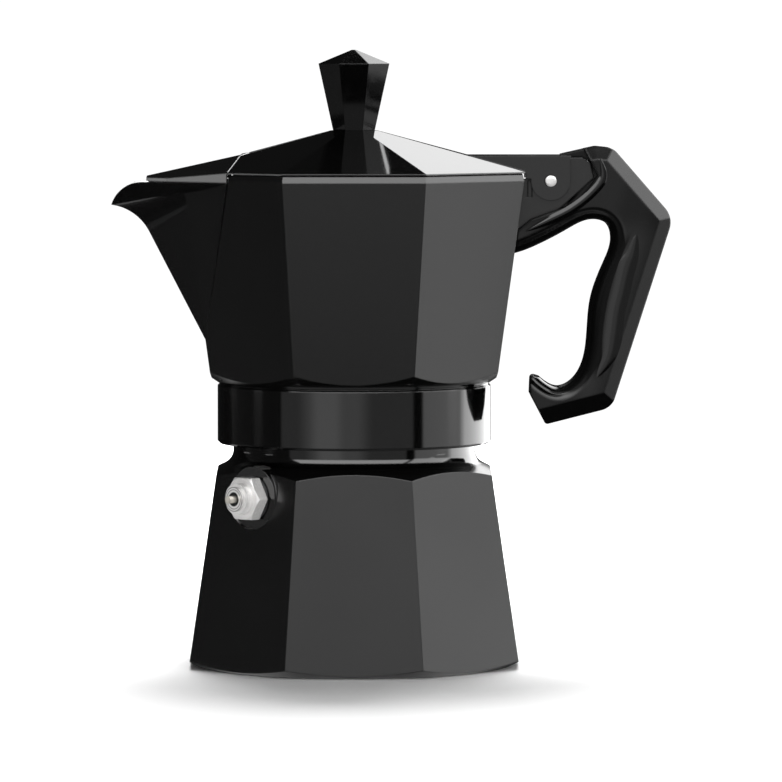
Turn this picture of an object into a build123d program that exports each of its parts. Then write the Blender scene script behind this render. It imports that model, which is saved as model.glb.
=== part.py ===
from build123d import *

import os
from math import pi, radians, sqrt, tan

# A three-cup octagonal stovetop coffee maker, in millimetres.
# +Z is up and the origin is on the pot's axis, on the surface it stands on.
# The spout points along -X, the handle along +X, and the safety valve sits on
# the facet that faces -X -Y. The front facet faces -Y.

# ---------------------------------------------------------------- sizes: boiler
SIDES = 8
BASE_FLATS = 88.4            # across the flats at the table
BOILER_TOP_FLATS = 73.2      # across the flats where they meet the turned shoulder
BOILER_FLATS_Z = 53.2        # height of that meeting line, mid-facet
BASE_DISC_IN = 1.2           # flat turned disc that stands on the hob, in from the flats
BASE_EDGE_SLOPE = 26.0       # turned edge that scallops the foot of each facet, degrees
SHOULDER_SLOPE = 26.5        # turned shoulder that scallops the top of each facet, degrees
SHOULDER_FILLET_R = 4.0
NECK_R = 32.5
NECK_RISE = 16.2             # top of the neck above the top of the flats
THREAD_DEPTH = 1.2
THREAD_L = 8.4               # the neck inside the collar, turned to the root of its thread
NECK_WALL = 4.0              # at the root of the thread
BOILER_WALL = 3.4
BOILER_FLOOR = 4.0
CHAMBER_DROP = 5.7           # where the octagonal chamber starts to close in, below the top of the flats
CHAMBER_CONE_H = 6.0

# ---------------------------------------------------------------- sizes: valve
# Lengths run outward from the seat, along the valve's own axis.
VALVE_DROP = 6.7             # axis below the top of the flats
VALVE_BOSS_OUT = 0.44        # spot-faced seat, proud of the facet
VALVE_BOSS_R = 8.4
VALVE_BOSS_ROOT = 7.0        # how far the boss runs back into the wall
VALVE_HOLE_R = 4.6
VALVE_SHANK_R = 4.5
VALVE_SHANK_L = 7.4
VALVE_WASHER_R = 5.9
VALVE_WASHER_T = 0.6
VALVE_HEX_FLATS = 11.0
VALVE_HEX_T = 3.4
VALVE_NOSE_R = 4.1
VALVE_NOSE_L = 2.2
VALVE_BORE_R = 3.0
VALVE_PORT_R = 1.5
VALVE_PORT_T = 1.2           # thickness of the inner seat round the port
VALVE_SEAL_T = 0.8
VALVE_SEAL_GAP = 0.05
VALVE_HEAD_T = 0.8
VALVE_PIN_R = 1.0
VALVE_PIN_OUT = 2.2          # how far the pin stands out of the cap
VALVE_CAP_T = 1.4            # length of the cap inside the bore
VALVE_CAP_RIM_T = 0.8
VALVE_CAP_RIM_R = 3.3
VALVE_SPRING_TURNS = 4
VALVE_WIRE_R = 0.3
SLIDE_FIT = 0.25             # radial clearance round the stem

# ---------------------------------------------------------------- sizes: funnel
FLANGE_IN = 0.7              # edge of the flange, in from the thread's root
FUNNEL_WALL = 0.8
BASKET_GAP = 0.5             # basket to neck bore
BASKET_DEPTH = 19.0
BASKET_CONE_H = 5.0
FUNNEL_TUBE_R = 5.2
FUNNEL_COLLAR_H = 4.0        # collar of the basket that grips the tube
FUNNEL_FOOT_GAP = 5.0        # tube end to the boiler floor
SIEVE_T = 0.8
SIEVE_HOLE_R = 1.0
SIEVE_RINGS = 3
SIEVE_MARGIN = 4.0           # outer ring of holes, in from the disc's edge

# ---------------------------------------------------------------- sizes: filter plate and gasket
SEAL_GAP = 0.05              # faces that meet across a joint
GASKET_T = 3.2
GASKET_GAP = 0.6             # gasket to the collar's bore
GASKET_W = 5.8
PLATE_GAP = 0.15
PLATE_T = 0.8
PLATE_HOLE_R = 0.9
PLATE_RINGS = 4
PLATE_MARGIN = 3.45          # outer ring of holes, in from the plate's edge

# ---------------------------------------------------------------- sizes: collector
COLLAR_FIT = 0.5             # bore beyond the neck
COLLAR_WALL = 3.7
COLLAR_SKIRT = 14.0          # collar below the face that presses on the gasket
COLLAR_HEAD = 2.1            # and above it
COLLAR_BEVEL = 0.6
COLLAR_GROOVE = 0.5          # shallow groove above the collar
COLLECTOR_FLATS_RISE = 3.4   # foot of the flats above the same face, mid-facet
COLLECTOR_FOOT_OUT = 1.4     # flats beyond the collar, at their foot
FOOT_SLOPE = 34.0            # turned underside that scallops the foot of each facet, degrees
COLLECTOR_FLOOR_T = 3.6
COLLECTOR_WALL = 2.4
COLLECTOR_H = 58.5           # rim above the same face
RIM_FLATS = 91.0
RIM_BEVEL = 0.7             # in from the flats
RIM_BEVEL_H = 1.8

# ---------------------------------------------------------------- sizes: spout
# Places are (reach out from the rim's flats, drop below the rim).
SPOUT_FOOT_DROP = 44.0       # lowest point of the keel
SPOUT_BEND = (9.7, 15.4)     # where the keel starts to curl out
SPOUT_TIP = (19.7, 8.55)
SPOUT_OVER = 26.5            # reach of the same flare carried on up to the edge's height
SPOUT_FACETS = 8             # facets along the curl
SPOUT_EDGE_DROP = 2.2        # the spout's edge, under the lid's skirt
SPOUT_ROOT_IN = 12.0         # where the spout leaves the rim, in from its flats
SPOUT_INSET = (1.7, 1.1, 1.9)  # channel set in from the outside, along X, Y and Z
LIP_START = 10.9             # where the lip's top line starts to fall

# ---------------------------------------------------------------- sizes: column
COLUMN_FOOT_R = 8.2
COLUMN_FOOT_H = 2.0
COLUMN_SPIGOT_R = 6.0
COLUMN_BASE_R = 6.8
COLUMN_TOP_R = 4.6
COLUMN_DROP = 13.0           # top of the column below the rim
COLUMN_BORE_R = 4.4
COLUMN_BORE_TOP_R = 2.8
COLUMN_CROWN_T = 2.2
OUTLET_R = 1.8
OUTLET_DROP = 5.6            # outlet centre below the column's top

# ---------------------------------------------------------------- sizes: lid
LID_GAP = 0.25
LID_EDGE = 0.4
LID_SLOPE = 15.3             # degrees
LID_BOSS_APOTHEM = 6.2
LID_T = 1.8
LID_REST_WIDTH = 2.6         # flat underside that rests on the rim
# The spout cover's places: reach beyond the rim's flats, distance to the side, height above the rim.
NOSE_RIDGE = -17.3           # where its ridge leaves the lid
NOSE_BREAK = 1.8             # where the ridge meets the end facets
NOSE_CORNER = (4.3, 15.5, -1.0)
NOSE_END = (10.1, 5.0, -1.1)
NOSE_END_TOP = -0.7
NOSE_SKIRT_GAP = 0.15        # its skirt above the spout's edge
NOSE_INSET = (1.6, 0.6, 1.5)  # hollow set in from the outside, along X, Y and Z

# ---------------------------------------------------------------- sizes: hinge
# Drops and rises are from the pin.
HINGE_OUT = 7.1              # pin beyond the rim's flats
HINGE_DROP = 2.0             # pin below the rim
PIN_R = 1.5
PIN_PROUD = 0.2
RUN_FIT = 0.06               # radial running clearance of the ears on the pin
PRESS_FIT = 0.02
EAR_OUT = 8.8                # outer face of each ear, from the middle plane
EAR_R = 5.3
EAR_STEP = 0.6               # the ear's lower edge beside the wall, above the pin
TAB_RISE = 6.8               # top of the ears and tab above the pin
TAB_IN = 16.5                # start of the tab, in from the rim's flats
NOTCH_CHAMFER = 1.5
WALL_GAP = 0.4               # ears, handle and spout cover to the collector's wall
TONGUE_HALF = 5.0            # the collector's hinge tongue, half its thickness
TONGUE_GAP = 0.5             # tongue to ear
TONGUE_RISE = 6.2            # top of the tongue above the pin
TONGUE_BACK = 4.9            # back of the tongue's tall part, behind the pin
TONGUE_STEP_DROP = 4.4       # low part of the tongue beside the wall
TONGUE_FOOT_DROP = 13.2
TONGUE_NIP = 2.0             # how far its end leans in at the top
WEB_HALF = 2.4
WEB_RISE = 0.4
TENON_HALF = 3.4

# ---------------------------------------------------------------- sizes: handle
HANDLE_HALF = 9.0
HANDLE_FIT = 0.05
# Places are (reach beyond the hinge pin, height above it), in the middle plane.
CROWN = ((2.8, 7.1), (9.0, 8.5), (12.2, 9.2), (16.8, 8.7))
ELBOW = (32.9, -9.8)
HEEL = (16.5, -60.9)
HOOK_FOOT = (-1.2, -65.4)
HOOK_NOSE = (-5.4, -57.4)
HOOK_TIP = (-5.2, -52.2)
HOOK_TOP = (-2.8, -52.8)
HOOK_HOLLOW = ((-0.6, -54.5), (1.9, -55.4), (4.8, -54.5))
GRIP = ((8.1, -50.6), (9.8, -44.0), (11.0, -31.8), (14.7, -21.6))
FINGER_TOP = ((16.4, -16.0), (15.0, -11.5), (11.3, -10.3), (4.6, -12.9), (-3.2, -17.0))
ARM_FOOT_DROP = 19.4
ARM_TOP_DROP = 13.3
SCOOP = ((-5.3, -10.3), (7.5, -5.7), (12.6, 1.4), (10.4, 5.8))
TONGUE_EDGE = ((-5.3, -10.7), (1.4, -8.4), (11.6, 0.8), (10.6, 4.8))
TENON = ((-6.0, -10.4), (4.6, -10.4), (15.8, -1.8), (13.6, 3.0))
CROWN_R = 4.0
ELBOW_R = 6.0
HEEL_R = 5.0
HOOK_R = 1.0
BACK_BEVEL = (2.4, 3.4)      # in the side face, and across the back
SOLE_BEVEL = (3.6, 4.6)
FINGER_ROUND = 4.0
CUTTER = 140.0               # side of the blocks that cut the bevels
NEAR = 0.05                  # two points closer than this are one point
SCREW_IN = 1.8               # screw's axis, in from the pin
SCREW_R = 1.9
SCREW_HEAD_R = 3.4
SCREW_HEAD_T = 2.2
SCREW_HEAD_DROP = 14.2
SCREW_L = 8.4
SCREW_SLOT = 0.9

# ---------------------------------------------------------------- sizes: knob
KNOB_BASE_APOTHEM = 5.6
KNOB_TOP_APOTHEM = 9.5
KNOB_H = 17.9                # to the shoulder, from the lid's top
KNOB_TIP_H = 3.7             # low pyramid above the shoulder
KNOB_TIP_APOTHEM = 0.6
KNOB_SEAT_GAP = 0.02
KNOB_SCREW_R = 1.9
KNOB_SCREW_DEPTH = 9.0
KNOB_SCREW_HEAD_R = 3.6
KNOB_SCREW_HEAD_T = 2.0
KNOB_WASHER_R = 4.8
KNOB_WASHER_T = 0.8

# ---------------------------------------------------------------- worked-out sizes
HALF_CORNER = 180 / SIDES
BASE_APOTHEM = BASE_FLATS / 2
BASE_DISC_R = BASE_APOTHEM - BASE_DISC_IN
BOILER_TAPER = (BASE_FLATS - BOILER_TOP_FLATS) / 2 / BOILER_FLATS_Z
NECK_TOP_Z = BOILER_FLATS_Z + NECK_RISE
THREAD_START_Z = NECK_TOP_Z - THREAD_L
THREAD_ROOT_R = NECK_R - THREAD_DEPTH
NECK_BORE_R = THREAD_ROOT_R - NECK_WALL
CHAMBER_TOP_Z = BOILER_FLATS_Z - CHAMBER_DROP
VALVE_Z = BOILER_FLATS_Z - VALVE_DROP
VALVE_SEAT_R = BASE_APOTHEM - VALVE_Z * BOILER_TAPER + VALVE_BOSS_OUT
VALVE_FOOT = -VALVE_SHANK_L
VALVE_MOUTH = VALVE_WASHER_T + VALVE_HEX_T + VALVE_NOSE_L
VALVE_LEDGE = VALVE_FOOT + VALVE_PORT_T
VALVE_PLANE = Plane(
    origin=(-VALVE_SEAT_R / sqrt(2), -VALVE_SEAT_R / sqrt(2), VALVE_Z),
    x_dir=(1, -1, 0),
    z_dir=(-1, -1, 0),
)
FLANGE_R = THREAD_ROOT_R - FLANGE_IN
FUNNEL_TOP_Z = NECK_TOP_Z + FUNNEL_WALL
BASKET_R = NECK_BORE_R - BASKET_GAP
BASKET_FLOOR_Z = FUNNEL_TOP_Z - BASKET_DEPTH
COLLAR_BORE_R = NECK_R + COLLAR_FIT
COLLAR_R = COLLAR_BORE_R + COLLAR_WALL
GASKET_R = COLLAR_BORE_R - GASKET_GAP
GASKET_BORE_R = GASKET_R - GASKET_W
GASKET_Z = FUNNEL_TOP_Z + SEAL_GAP
SEAT_Z = GASKET_Z + GASKET_T + SEAL_GAP
COLLAR_BOTTOM_Z = SEAT_Z - COLLAR_SKIRT
COLLAR_TOP_Z = SEAT_Z + COLLAR_HEAD
COLLECTOR_FLATS_Z = SEAT_Z + COLLECTOR_FLATS_RISE
COLLECTOR_FLOOR_Z = SEAT_Z + COLLECTOR_FLOOR_T
RIM_Z = SEAT_Z + COLLECTOR_H
FOOT_APOTHEM = COLLAR_R + COLLECTOR_FOOT_OUT
RIM_APOTHEM = RIM_FLATS / 2
COLLECTOR_TAPER = (RIM_APOTHEM - FOOT_APOTHEM) / (RIM_Z - COLLECTOR_FLATS_Z)
COLUMN_TOP_Z = RIM_Z - COLUMN_DROP
SPOUT_FOOT_Z = RIM_Z - SPOUT_FOOT_DROP
SPOUT_EDGE_Z = RIM_Z - SPOUT_EDGE_DROP
SPOUT_ROOT_X = SPOUT_ROOT_IN - RIM_APOTHEM
SPOUT_ROOT_Y = -SPOUT_ROOT_X - RIM_APOTHEM * sqrt(2)
LID_Z = RIM_Z + LID_GAP
LID_EDGE_Z = LID_Z + LID_EDGE
LID_PITCH = tan(radians(LID_SLOPE))
LID_TOP_Z = LID_EDGE_Z + (RIM_APOTHEM - LID_BOSS_APOTHEM) * LID_PITCH
KNOB_SHOULDER_Z = LID_TOP_Z + KNOB_H
HINGE_X = RIM_APOTHEM + HINGE_OUT
HINGE_Z = RIM_Z - HINGE_DROP
EAR_IN = TONGUE_HALF + TONGUE_GAP
EAR_FIT_R = PIN_R + RUN_FIT
TAB_TOP_Z = HINGE_Z + TAB_RISE
NOTCH_X = RIM_APOTHEM - COLLECTOR_WALL - LID_GAP
TONGUE_STEP_Z = HINGE_Z - TONGUE_STEP_DROP
ARM_FOOT_Z = HINGE_Z - ARM_FOOT_DROP
SCREW_X = HINGE_X - SCREW_IN
SCREW_SEAT_Z = HINGE_Z - SCREW_HEAD_DROP + SCREW_HEAD_T


# ---------------------------------------------------------------- shared forms
def octagon(apothem, z):
    """A level octagon with flats facing the four main directions."""
    return Pos(0, 0, z) * RegularPolygon(apothem, SIDES, major_radius=False, rotation=HALF_CORNER)


def frustum(apothem_low, z_low, apothem_high, z_high):
    """An octagonal frustum between two heights."""
    return loft([octagon(apothem_low, z_low), octagon(apothem_high, z_high)], ruled=True)


def turned(*points):
    """A solid turned about Z from (radius, height) points."""
    return revolve(Plane.XZ * make_face(Polyline(*points, close=True)), Axis.Z)


def tube(r_out, r_in, z_low, z_high):
    """A straight tube, or a rod if r_in is 0."""
    return turned((r_in, z_low), (r_out, z_low), (r_out, z_high), (r_in, z_high))


def slab(outline, half):
    """A closed outline in the XZ plane, carried to half each side of it."""
    return extrude(Plane.XZ * make_face(outline), amount=half, both=True)


def slab_of(points, half):
    return slab(Polyline(*points, close=True), half)


def polyhedron(half_faces, whole_faces):
    """A flat-faced solid, symmetric about y = 0, from its faces' corners.

    half_faces lie on one side and are mirrored; whole_faces straddle the middle plane.
    """
    corners = list(whole_faces)
    for face in half_faces:
        corners.append(face)
        corners.append([(x, -y, z) for x, y, z in face])
    return Solid(Shell([make_face(Polyline(*face, close=True)).face() for face in corners]))


def cross_bar(r, half):
    """A round bar along Y, through the hinge."""
    return Pos(HINGE_X, 0, HINGE_Z) * Rot(90, 0, 0) * tube(r, 0, -half, half)


def hole_field(outer_r, rings, hole_r, z_low, z_high):
    """A centre hole and rings of holes, each about one ring's spacing from the next."""
    hole = tube(hole_r, 0, z_low, z_high)
    holes = [hole]
    for ring in range(1, rings + 1):
        holes += PolarLocations(outer_r * ring / rings, int(2 * pi * ring)) * hole
    return holes


def collector_apothem(z):
    return FOOT_APOTHEM + (z - COLLECTOR_FLATS_Z) * COLLECTOR_TAPER


def boiler_apothem(z):
    return BASE_APOTHEM - z * BOILER_TAPER


def from_rim(reach, drop):
    """The (x, z) of a place on the spout's side, given from the rim."""
    return -RIM_APOTHEM - reach, RIM_Z - drop


def from_pin(*places):
    """The (x, z) of places given from the hinge pin."""
    return [(HINGE_X + reach, HINGE_Z + rise) for reach, rise in places]


# ---------------------------------------------------------------- boiler
def boiler():
    """The water chamber: an octagonal casting with a turned foot, shoulder and neck."""
    reach = 1.2 * BASE_APOTHEM
    slope = tan(radians(SHOULDER_SLOPE))
    flats_top = boiler_apothem(BOILER_FLATS_Z)
    outline = FilletPolyline(
        (0, 0),
        (BASE_DISC_R, 0),
        (reach, (reach - BASE_DISC_R) * tan(radians(BASE_EDGE_SLOPE))),
        (reach, BOILER_FLATS_Z - (reach - flats_top) * slope),
        (NECK_R, BOILER_FLATS_Z + (flats_top - NECK_R) * slope),
        (NECK_R, THREAD_START_Z),
        (THREAD_ROOT_R, THREAD_START_Z + NECK_R - THREAD_ROOT_R),
        (THREAD_ROOT_R, NECK_TOP_Z),
        (0, NECK_TOP_Z),
        radius=[0, 0, 0, SHOULDER_FILLET_R, 0, 0, 0],
    )
    envelope = revolve(Plane.XZ * make_face(outline + Line((0, NECK_TOP_Z), (0, 0))), Axis.Z)
    body = frustum(BASE_APOTHEM, 0, boiler_apothem(NECK_TOP_Z), NECK_TOP_Z) & envelope
    body += VALVE_PLANE * tube(VALVE_BOSS_R, 0, -VALVE_BOSS_ROOT, 0)
    body -= VALVE_PLANE * tube(VALVE_BOSS_R, 0, 0, VALVE_BOSS_R)
    chamber = frustum(
        boiler_apothem(BOILER_FLOOR) - BOILER_WALL,
        BOILER_FLOOR,
        boiler_apothem(CHAMBER_TOP_Z) - BOILER_WALL,
        CHAMBER_TOP_Z,
    )
    chamber += turned(
        (0, BOILER_FLOOR),
        (boiler_apothem(CHAMBER_TOP_Z) - BOILER_WALL, CHAMBER_TOP_Z),
        (NECK_BORE_R, CHAMBER_TOP_Z + CHAMBER_CONE_H),
        (NECK_BORE_R, NECK_TOP_Z),
        (0, NECK_TOP_Z),
    )
    return body - chamber - VALVE_PLANE * tube(VALVE_HOLE_R, 0, -2 * VALVE_BOSS_ROOT, 0)


# ---------------------------------------------------------------- safety valve
def valve_body():
    """Hexagon, nose and shank, bored out for the spring and closed by an inner seat."""
    hexagon = extrude(RegularPolygon(VALVE_HEX_FLATS / 2, 6, major_radius=False, rotation=30), VALVE_HEX_T)
    corner = VALVE_HEX_FLATS / 2
    turned_face = turned(
        (0, 0),
        (2 * corner, 0),
        (2 * corner, VALVE_HEX_T - corner * tan(radians(30))),
        (corner, VALVE_HEX_T),
        (0, VALVE_HEX_T),
    )
    body = Pos(0, 0, VALVE_WASHER_T) * (hexagon & turned_face)
    body += tube(VALVE_NOSE_R, 0, VALVE_WASHER_T, VALVE_MOUTH)
    body += tube(VALVE_SHANK_R, 0, VALVE_FOOT, VALVE_WASHER_T)
    body -= tube(VALVE_BORE_R, 0, VALVE_LEDGE, VALVE_MOUTH)
    body -= tube(VALVE_PORT_R, 0, VALVE_FOOT, VALVE_LEDGE)
    return VALVE_PLANE * body


def valve_washer():
    return VALVE_PLANE * tube(VALVE_WASHER_R, VALVE_SHANK_R, 0, VALVE_WASHER_T)


def valve_seal():
    """The disc that shuts the port, carried by the stem."""
    low = VALVE_LEDGE + VALVE_SEAL_GAP
    return VALVE_PLANE * tube(VALVE_BORE_R - SLIDE_FIT, 0, low, low + VALVE_SEAL_T)


def valve_stem():
    """A headed pin that stands out of the cap."""
    foot = VALVE_LEDGE + VALVE_SEAL_GAP + VALVE_SEAL_T
    head = tube(VALVE_BORE_R - SLIDE_FIT, 0, foot, foot + VALVE_HEAD_T)
    pin = tube(VALVE_PIN_R, 0, foot, VALVE_MOUTH + VALVE_CAP_RIM_T + VALVE_PIN_OUT)
    return VALVE_PLANE * (head + pin)


def valve_cap():
    """The pressed cap that holds the spring and guides the pin."""
    bush = tube(VALVE_BORE_R, VALVE_PIN_R + SLIDE_FIT, VALVE_MOUTH - VALVE_CAP_T, VALVE_MOUTH)
    rim = tube(VALVE_CAP_RIM_R, VALVE_PIN_R + SLIDE_FIT, VALVE_MOUTH, VALVE_MOUTH + VALVE_CAP_RIM_T)
    return VALVE_PLANE * (bush + rim)


def valve_spring():
    """A coil between the stem's head and the cap."""
    low = VALVE_LEDGE + VALVE_SEAL_GAP + VALVE_SEAL_T + VALVE_HEAD_T + VALVE_WIRE_R
    high = VALVE_MOUTH - VALVE_CAP_T - VALVE_WIRE_R
    coil_r = (VALVE_BORE_R + VALVE_PIN_R) / 2
    path = Pos(0, 0, low) * Helix((high - low) / VALVE_SPRING_TURNS, high - low, coil_r)
    wire = sweep(Plane(path @ 0, z_dir=path % 0) * Circle(VALVE_WIRE_R), path=path, is_frenet=True)
    return VALVE_PLANE * wire


# ---------------------------------------------------------------- coffee funnel
def funnel_basket():
    """The coffee basket: flange, straight wall, conical floor and tube collar."""
    wall = FUNNEL_WALL
    collar_r = FUNNEL_TUBE_R + wall
    cone_z = BASKET_FLOOR_Z - BASKET_CONE_H
    collar_z = cone_z - FUNNEL_COLLAR_H
    return turned(
        (FUNNEL_TUBE_R, collar_z),
        (collar_r, collar_z),
        (collar_r, cone_z),
        (BASKET_R, BASKET_FLOOR_Z),
        (BASKET_R, NECK_TOP_Z),
        (FLANGE_R, NECK_TOP_Z),
        (FLANGE_R, FUNNEL_TOP_Z),
        (BASKET_R - wall, FUNNEL_TOP_Z),
        (BASKET_R - wall, BASKET_FLOOR_Z + wall),
        (collar_r - wall, cone_z + wall),
    )


def funnel_tube():
    """The tube that water climbs, pressed into the basket's collar."""
    top = BASKET_FLOOR_Z - BASKET_CONE_H
    return tube(FUNNEL_TUBE_R, FUNNEL_TUBE_R - FUNNEL_WALL, BOILER_FLOOR + FUNNEL_FOOT_GAP, top)


def funnel_sieve():
    """The pierced disc that the ground coffee lies on."""
    low = BASKET_FLOOR_Z + FUNNEL_WALL
    r = BASKET_R - FUNNEL_WALL
    holes = hole_field(r - SIEVE_MARGIN, SIEVE_RINGS, SIEVE_HOLE_R, low, low + SIEVE_T)
    return tube(r, 0, low, low + SIEVE_T) - holes


# ---------------------------------------------------------------- filter plate and gasket
def filter_plate():
    """A pierced plate with a turned-up rim that the gasket grips."""
    low = FUNNEL_TOP_Z + SEAL_GAP
    r = GASKET_BORE_R - PLATE_GAP
    plate = turned(
        (0, low),
        (r, low),
        (r, SEAT_Z - SEAL_GAP),
        (r - PLATE_T, SEAT_Z - SEAL_GAP),
        (r - PLATE_T, low + PLATE_T),
        (0, low + PLATE_T),
    )
    return plate - hole_field(r - PLATE_MARGIN, PLATE_RINGS, PLATE_HOLE_R, low, low + PLATE_T)


def gasket():
    return tube(GASKET_R, GASKET_BORE_R, GASKET_Z, GASKET_Z + GASKET_T)


# ---------------------------------------------------------------- collector
def keel_line():
    """The keel's curl in the middle plane, from the end of its straight run to the tip."""
    bend = from_rim(*SPOUT_BEND)
    run = Vector(bend) - Vector(-collector_apothem(SPOUT_FOOT_Z), SPOUT_FOOT_Z)
    return TangentArc(bend, from_rim(*SPOUT_TIP), tangent=run)


def spout_form(inset=(0, 0, 0)):
    """The flared spout: two side facets that meet in a keel, and a fan that forms the lip."""
    dx, dy, dz = inset
    foot = collector_apothem(SPOUT_FOOT_Z)
    corner = (-foot + dx, -foot * tan(radians(HALF_CORNER)) + dy, SPOUT_FOOT_Z + dz)
    root = (SPOUT_ROOT_X + dx, SPOUT_ROOT_Y + dy, SPOUT_EDGE_Z + dz)
    curl = keel_line()
    places = [curl @ (step / SPOUT_FACETS) for step in range(SPOUT_FACETS + 1)]
    places.append(Vector(from_rim(SPOUT_OVER, SPOUT_EDGE_DROP)))
    keel = [(place.X + dx, 0, place.Y + dz) for place in places]
    far_corner = (corner[0], -corner[1], corner[2])
    far_root = (root[0], -root[1], root[2])
    sides = [[corner, keel[0], root]]
    sides += [[root, low, high] for low, high in zip(keel, keel[1:])]
    return polyhedron(sides, [
        [corner, far_corner, keel[0]],
        [root, far_root, keel[-1]],
        [corner, far_corner, far_root, root],
    ])


def lip_cut():
    """All that lies above the lip's rounded top line."""
    start = from_rim(LIP_START, SPOUT_EDGE_DROP)
    tip = from_rim(*SPOUT_TIP)
    far = 2 * tip[0]
    high = RIM_Z + RIM_APOTHEM
    line = TangentArc(start, tip, tangent=(-1, 0))
    line += Polyline(tip, (far, tip[1]), (far, high), (start[0], high), start)
    return slab(line, RIM_APOTHEM)


def tongue_outline(grow=0.0):
    """The visible part of the hinge tongue, from the wall to its rounded end."""
    wall_x = RIM_APOTHEM - COLLECTOR_WALL
    back_x = HINGE_X - TONGUE_BACK
    top_z = HINGE_Z + TONGUE_RISE
    foot_z = HINGE_Z - TONGUE_FOOT_DROP
    *edge, (end_x, end_z) = from_pin(*TONGUE_EDGE)
    return [
        (wall_x - WALL_GAP, foot_z - COLLECTOR_WALL),
        (collector_apothem(foot_z) + WALL_GAP, foot_z),
        *[(x + grow, z - grow) for x, z in edge],
        (end_x + grow, end_z + grow),
        (end_x - TONGUE_NIP, top_z + grow),
        (back_x, top_z + grow),
        (back_x, TONGUE_STEP_Z),
        (wall_x - WALL_GAP, TONGUE_STEP_Z),
    ]


def tenon_outline(grow=0.0):
    """The hidden part of the tongue, inside the handle."""
    (x0, z0), (x1, z1), (x2, z2), (x3, z3) = from_pin(*TENON)
    return [
        (x0, z0 - grow),
        (x1 + grow / 2, z1 - grow),
        (x2 + grow, z2 - grow),
        (x3 + grow, z3 + grow),
        (HINGE_X, HINGE_Z + grow),
        (x0, HINGE_Z + grow),
    ]


def collector():
    """The upper chamber: octagonal casting, threaded collar, spout and hinge tongue."""
    reach = 1.3 * RIM_APOTHEM
    slope = tan(radians(FOOT_SLOPE))
    groove_r = COLLAR_R - COLLAR_BEVEL - COLLAR_GROOVE
    groove_z = COLLECTOR_FLATS_Z - (FOOT_APOTHEM - groove_r) * slope
    bevel_z = RIM_Z - RIM_BEVEL_H
    bevel_apothem = collector_apothem(bevel_z)
    envelope = turned(
        (0, groove_z),
        (groove_r, groove_z),
        (reach, groove_z + (reach - groove_r) * slope),
        (reach, RIM_Z),
        (0, RIM_Z),
    )
    shell = frustum(collector_apothem(groove_z), groove_z, bevel_apothem, bevel_z) & envelope
    shell += frustum(bevel_apothem, bevel_z, RIM_APOTHEM - RIM_BEVEL, RIM_Z)
    shell += turned(
        (0, COLLAR_BOTTOM_Z),
        (COLLAR_R - COLLAR_BEVEL, COLLAR_BOTTOM_Z),
        (COLLAR_R, COLLAR_BOTTOM_Z + COLLAR_BEVEL),
        (COLLAR_R, COLLAR_TOP_Z - COLLAR_BEVEL),
        (COLLAR_R - COLLAR_BEVEL, COLLAR_TOP_Z),
        (groove_r, COLLAR_TOP_Z),
        (groove_r, groove_z),
        (0, groove_z),
    )
    shell += spout_form()
    shell -= frustum(
        collector_apothem(COLLECTOR_FLOOR_Z) - COLLECTOR_WALL,
        COLLECTOR_FLOOR_Z,
        RIM_APOTHEM - COLLECTOR_WALL,
        RIM_Z,
    )
    shell -= spout_form(SPOUT_INSET)
    rim_notch = Box(RIM_FLATS, 2 * RIM_FLATS, RIM_FLATS, align=(Align.MAX, Align.CENTER, Align.MIN))
    shell -= Pos(SPOUT_ROOT_X + WALL_GAP, 0, SPOUT_EDGE_Z) * rim_notch
    shell -= lip_cut()
    shell -= tube(COLLAR_BORE_R, 0, COLLAR_BOTTOM_Z, SEAT_Z)
    shell -= tube(COLUMN_SPIGOT_R, 0, SEAT_Z, COLLECTOR_FLOOR_Z)
    tongue = slab_of(tongue_outline(), TONGUE_HALF)
    tongue += slab_of(tenon_outline(), TENON_HALF)
    web_x = RIM_APOTHEM - COLLECTOR_WALL - WALL_GAP
    web_z = HINGE_Z + WEB_RISE
    web = [(web_x, TONGUE_STEP_Z), (HINGE_X, TONGUE_STEP_Z), (HINGE_X, web_z), (web_x, web_z)]
    tongue += slab_of(web, WEB_HALF)
    tongue -= frustum(
        collector_apothem(COLLECTOR_FLOOR_Z) - COLLECTOR_WALL / 2,
        COLLECTOR_FLOOR_Z,
        RIM_APOTHEM - COLLECTOR_WALL / 2,
        RIM_Z,
    )
    tongue -= cross_bar(PIN_R + PRESS_FIT, HANDLE_HALF)
    tongue -= Pos(SCREW_X, 0, 0) * tube(SCREW_R + PRESS_FIT, 0, ARM_FOOT_Z, SCREW_SEAT_Z + SCREW_L)
    return shell + tongue


def column():
    """The chimney that the coffee climbs: tapered, closed at the crown, with two outlets."""
    crown_z = COLUMN_TOP_Z - COLUMN_CROWN_T
    body = turned(
        (0, SEAT_Z),
        (COLUMN_SPIGOT_R, SEAT_Z),
        (COLUMN_SPIGOT_R, COLLECTOR_FLOOR_Z),
        (COLUMN_FOOT_R, COLLECTOR_FLOOR_Z),
        (COLUMN_FOOT_R, COLLECTOR_FLOOR_Z + COLUMN_FOOT_H),
        (COLUMN_BASE_R, COLLECTOR_FLOOR_Z + COLUMN_FOOT_H),
        (COLUMN_TOP_R, crown_z),
        (COLUMN_TOP_R - COLUMN_CROWN_T / 2, COLUMN_TOP_Z),
        (0, COLUMN_TOP_Z),
    )
    body -= turned((0, SEAT_Z), (COLUMN_BORE_R, SEAT_Z), (COLUMN_BORE_TOP_R, crown_z), (0, crown_z))
    outlet = Rot(90, 0, 0) * tube(OUTLET_R, 0, -COLUMN_FOOT_R, COLUMN_FOOT_R)
    return body - Pos(0, 0, COLUMN_TOP_Z - OUTLET_DROP) * outlet


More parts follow.
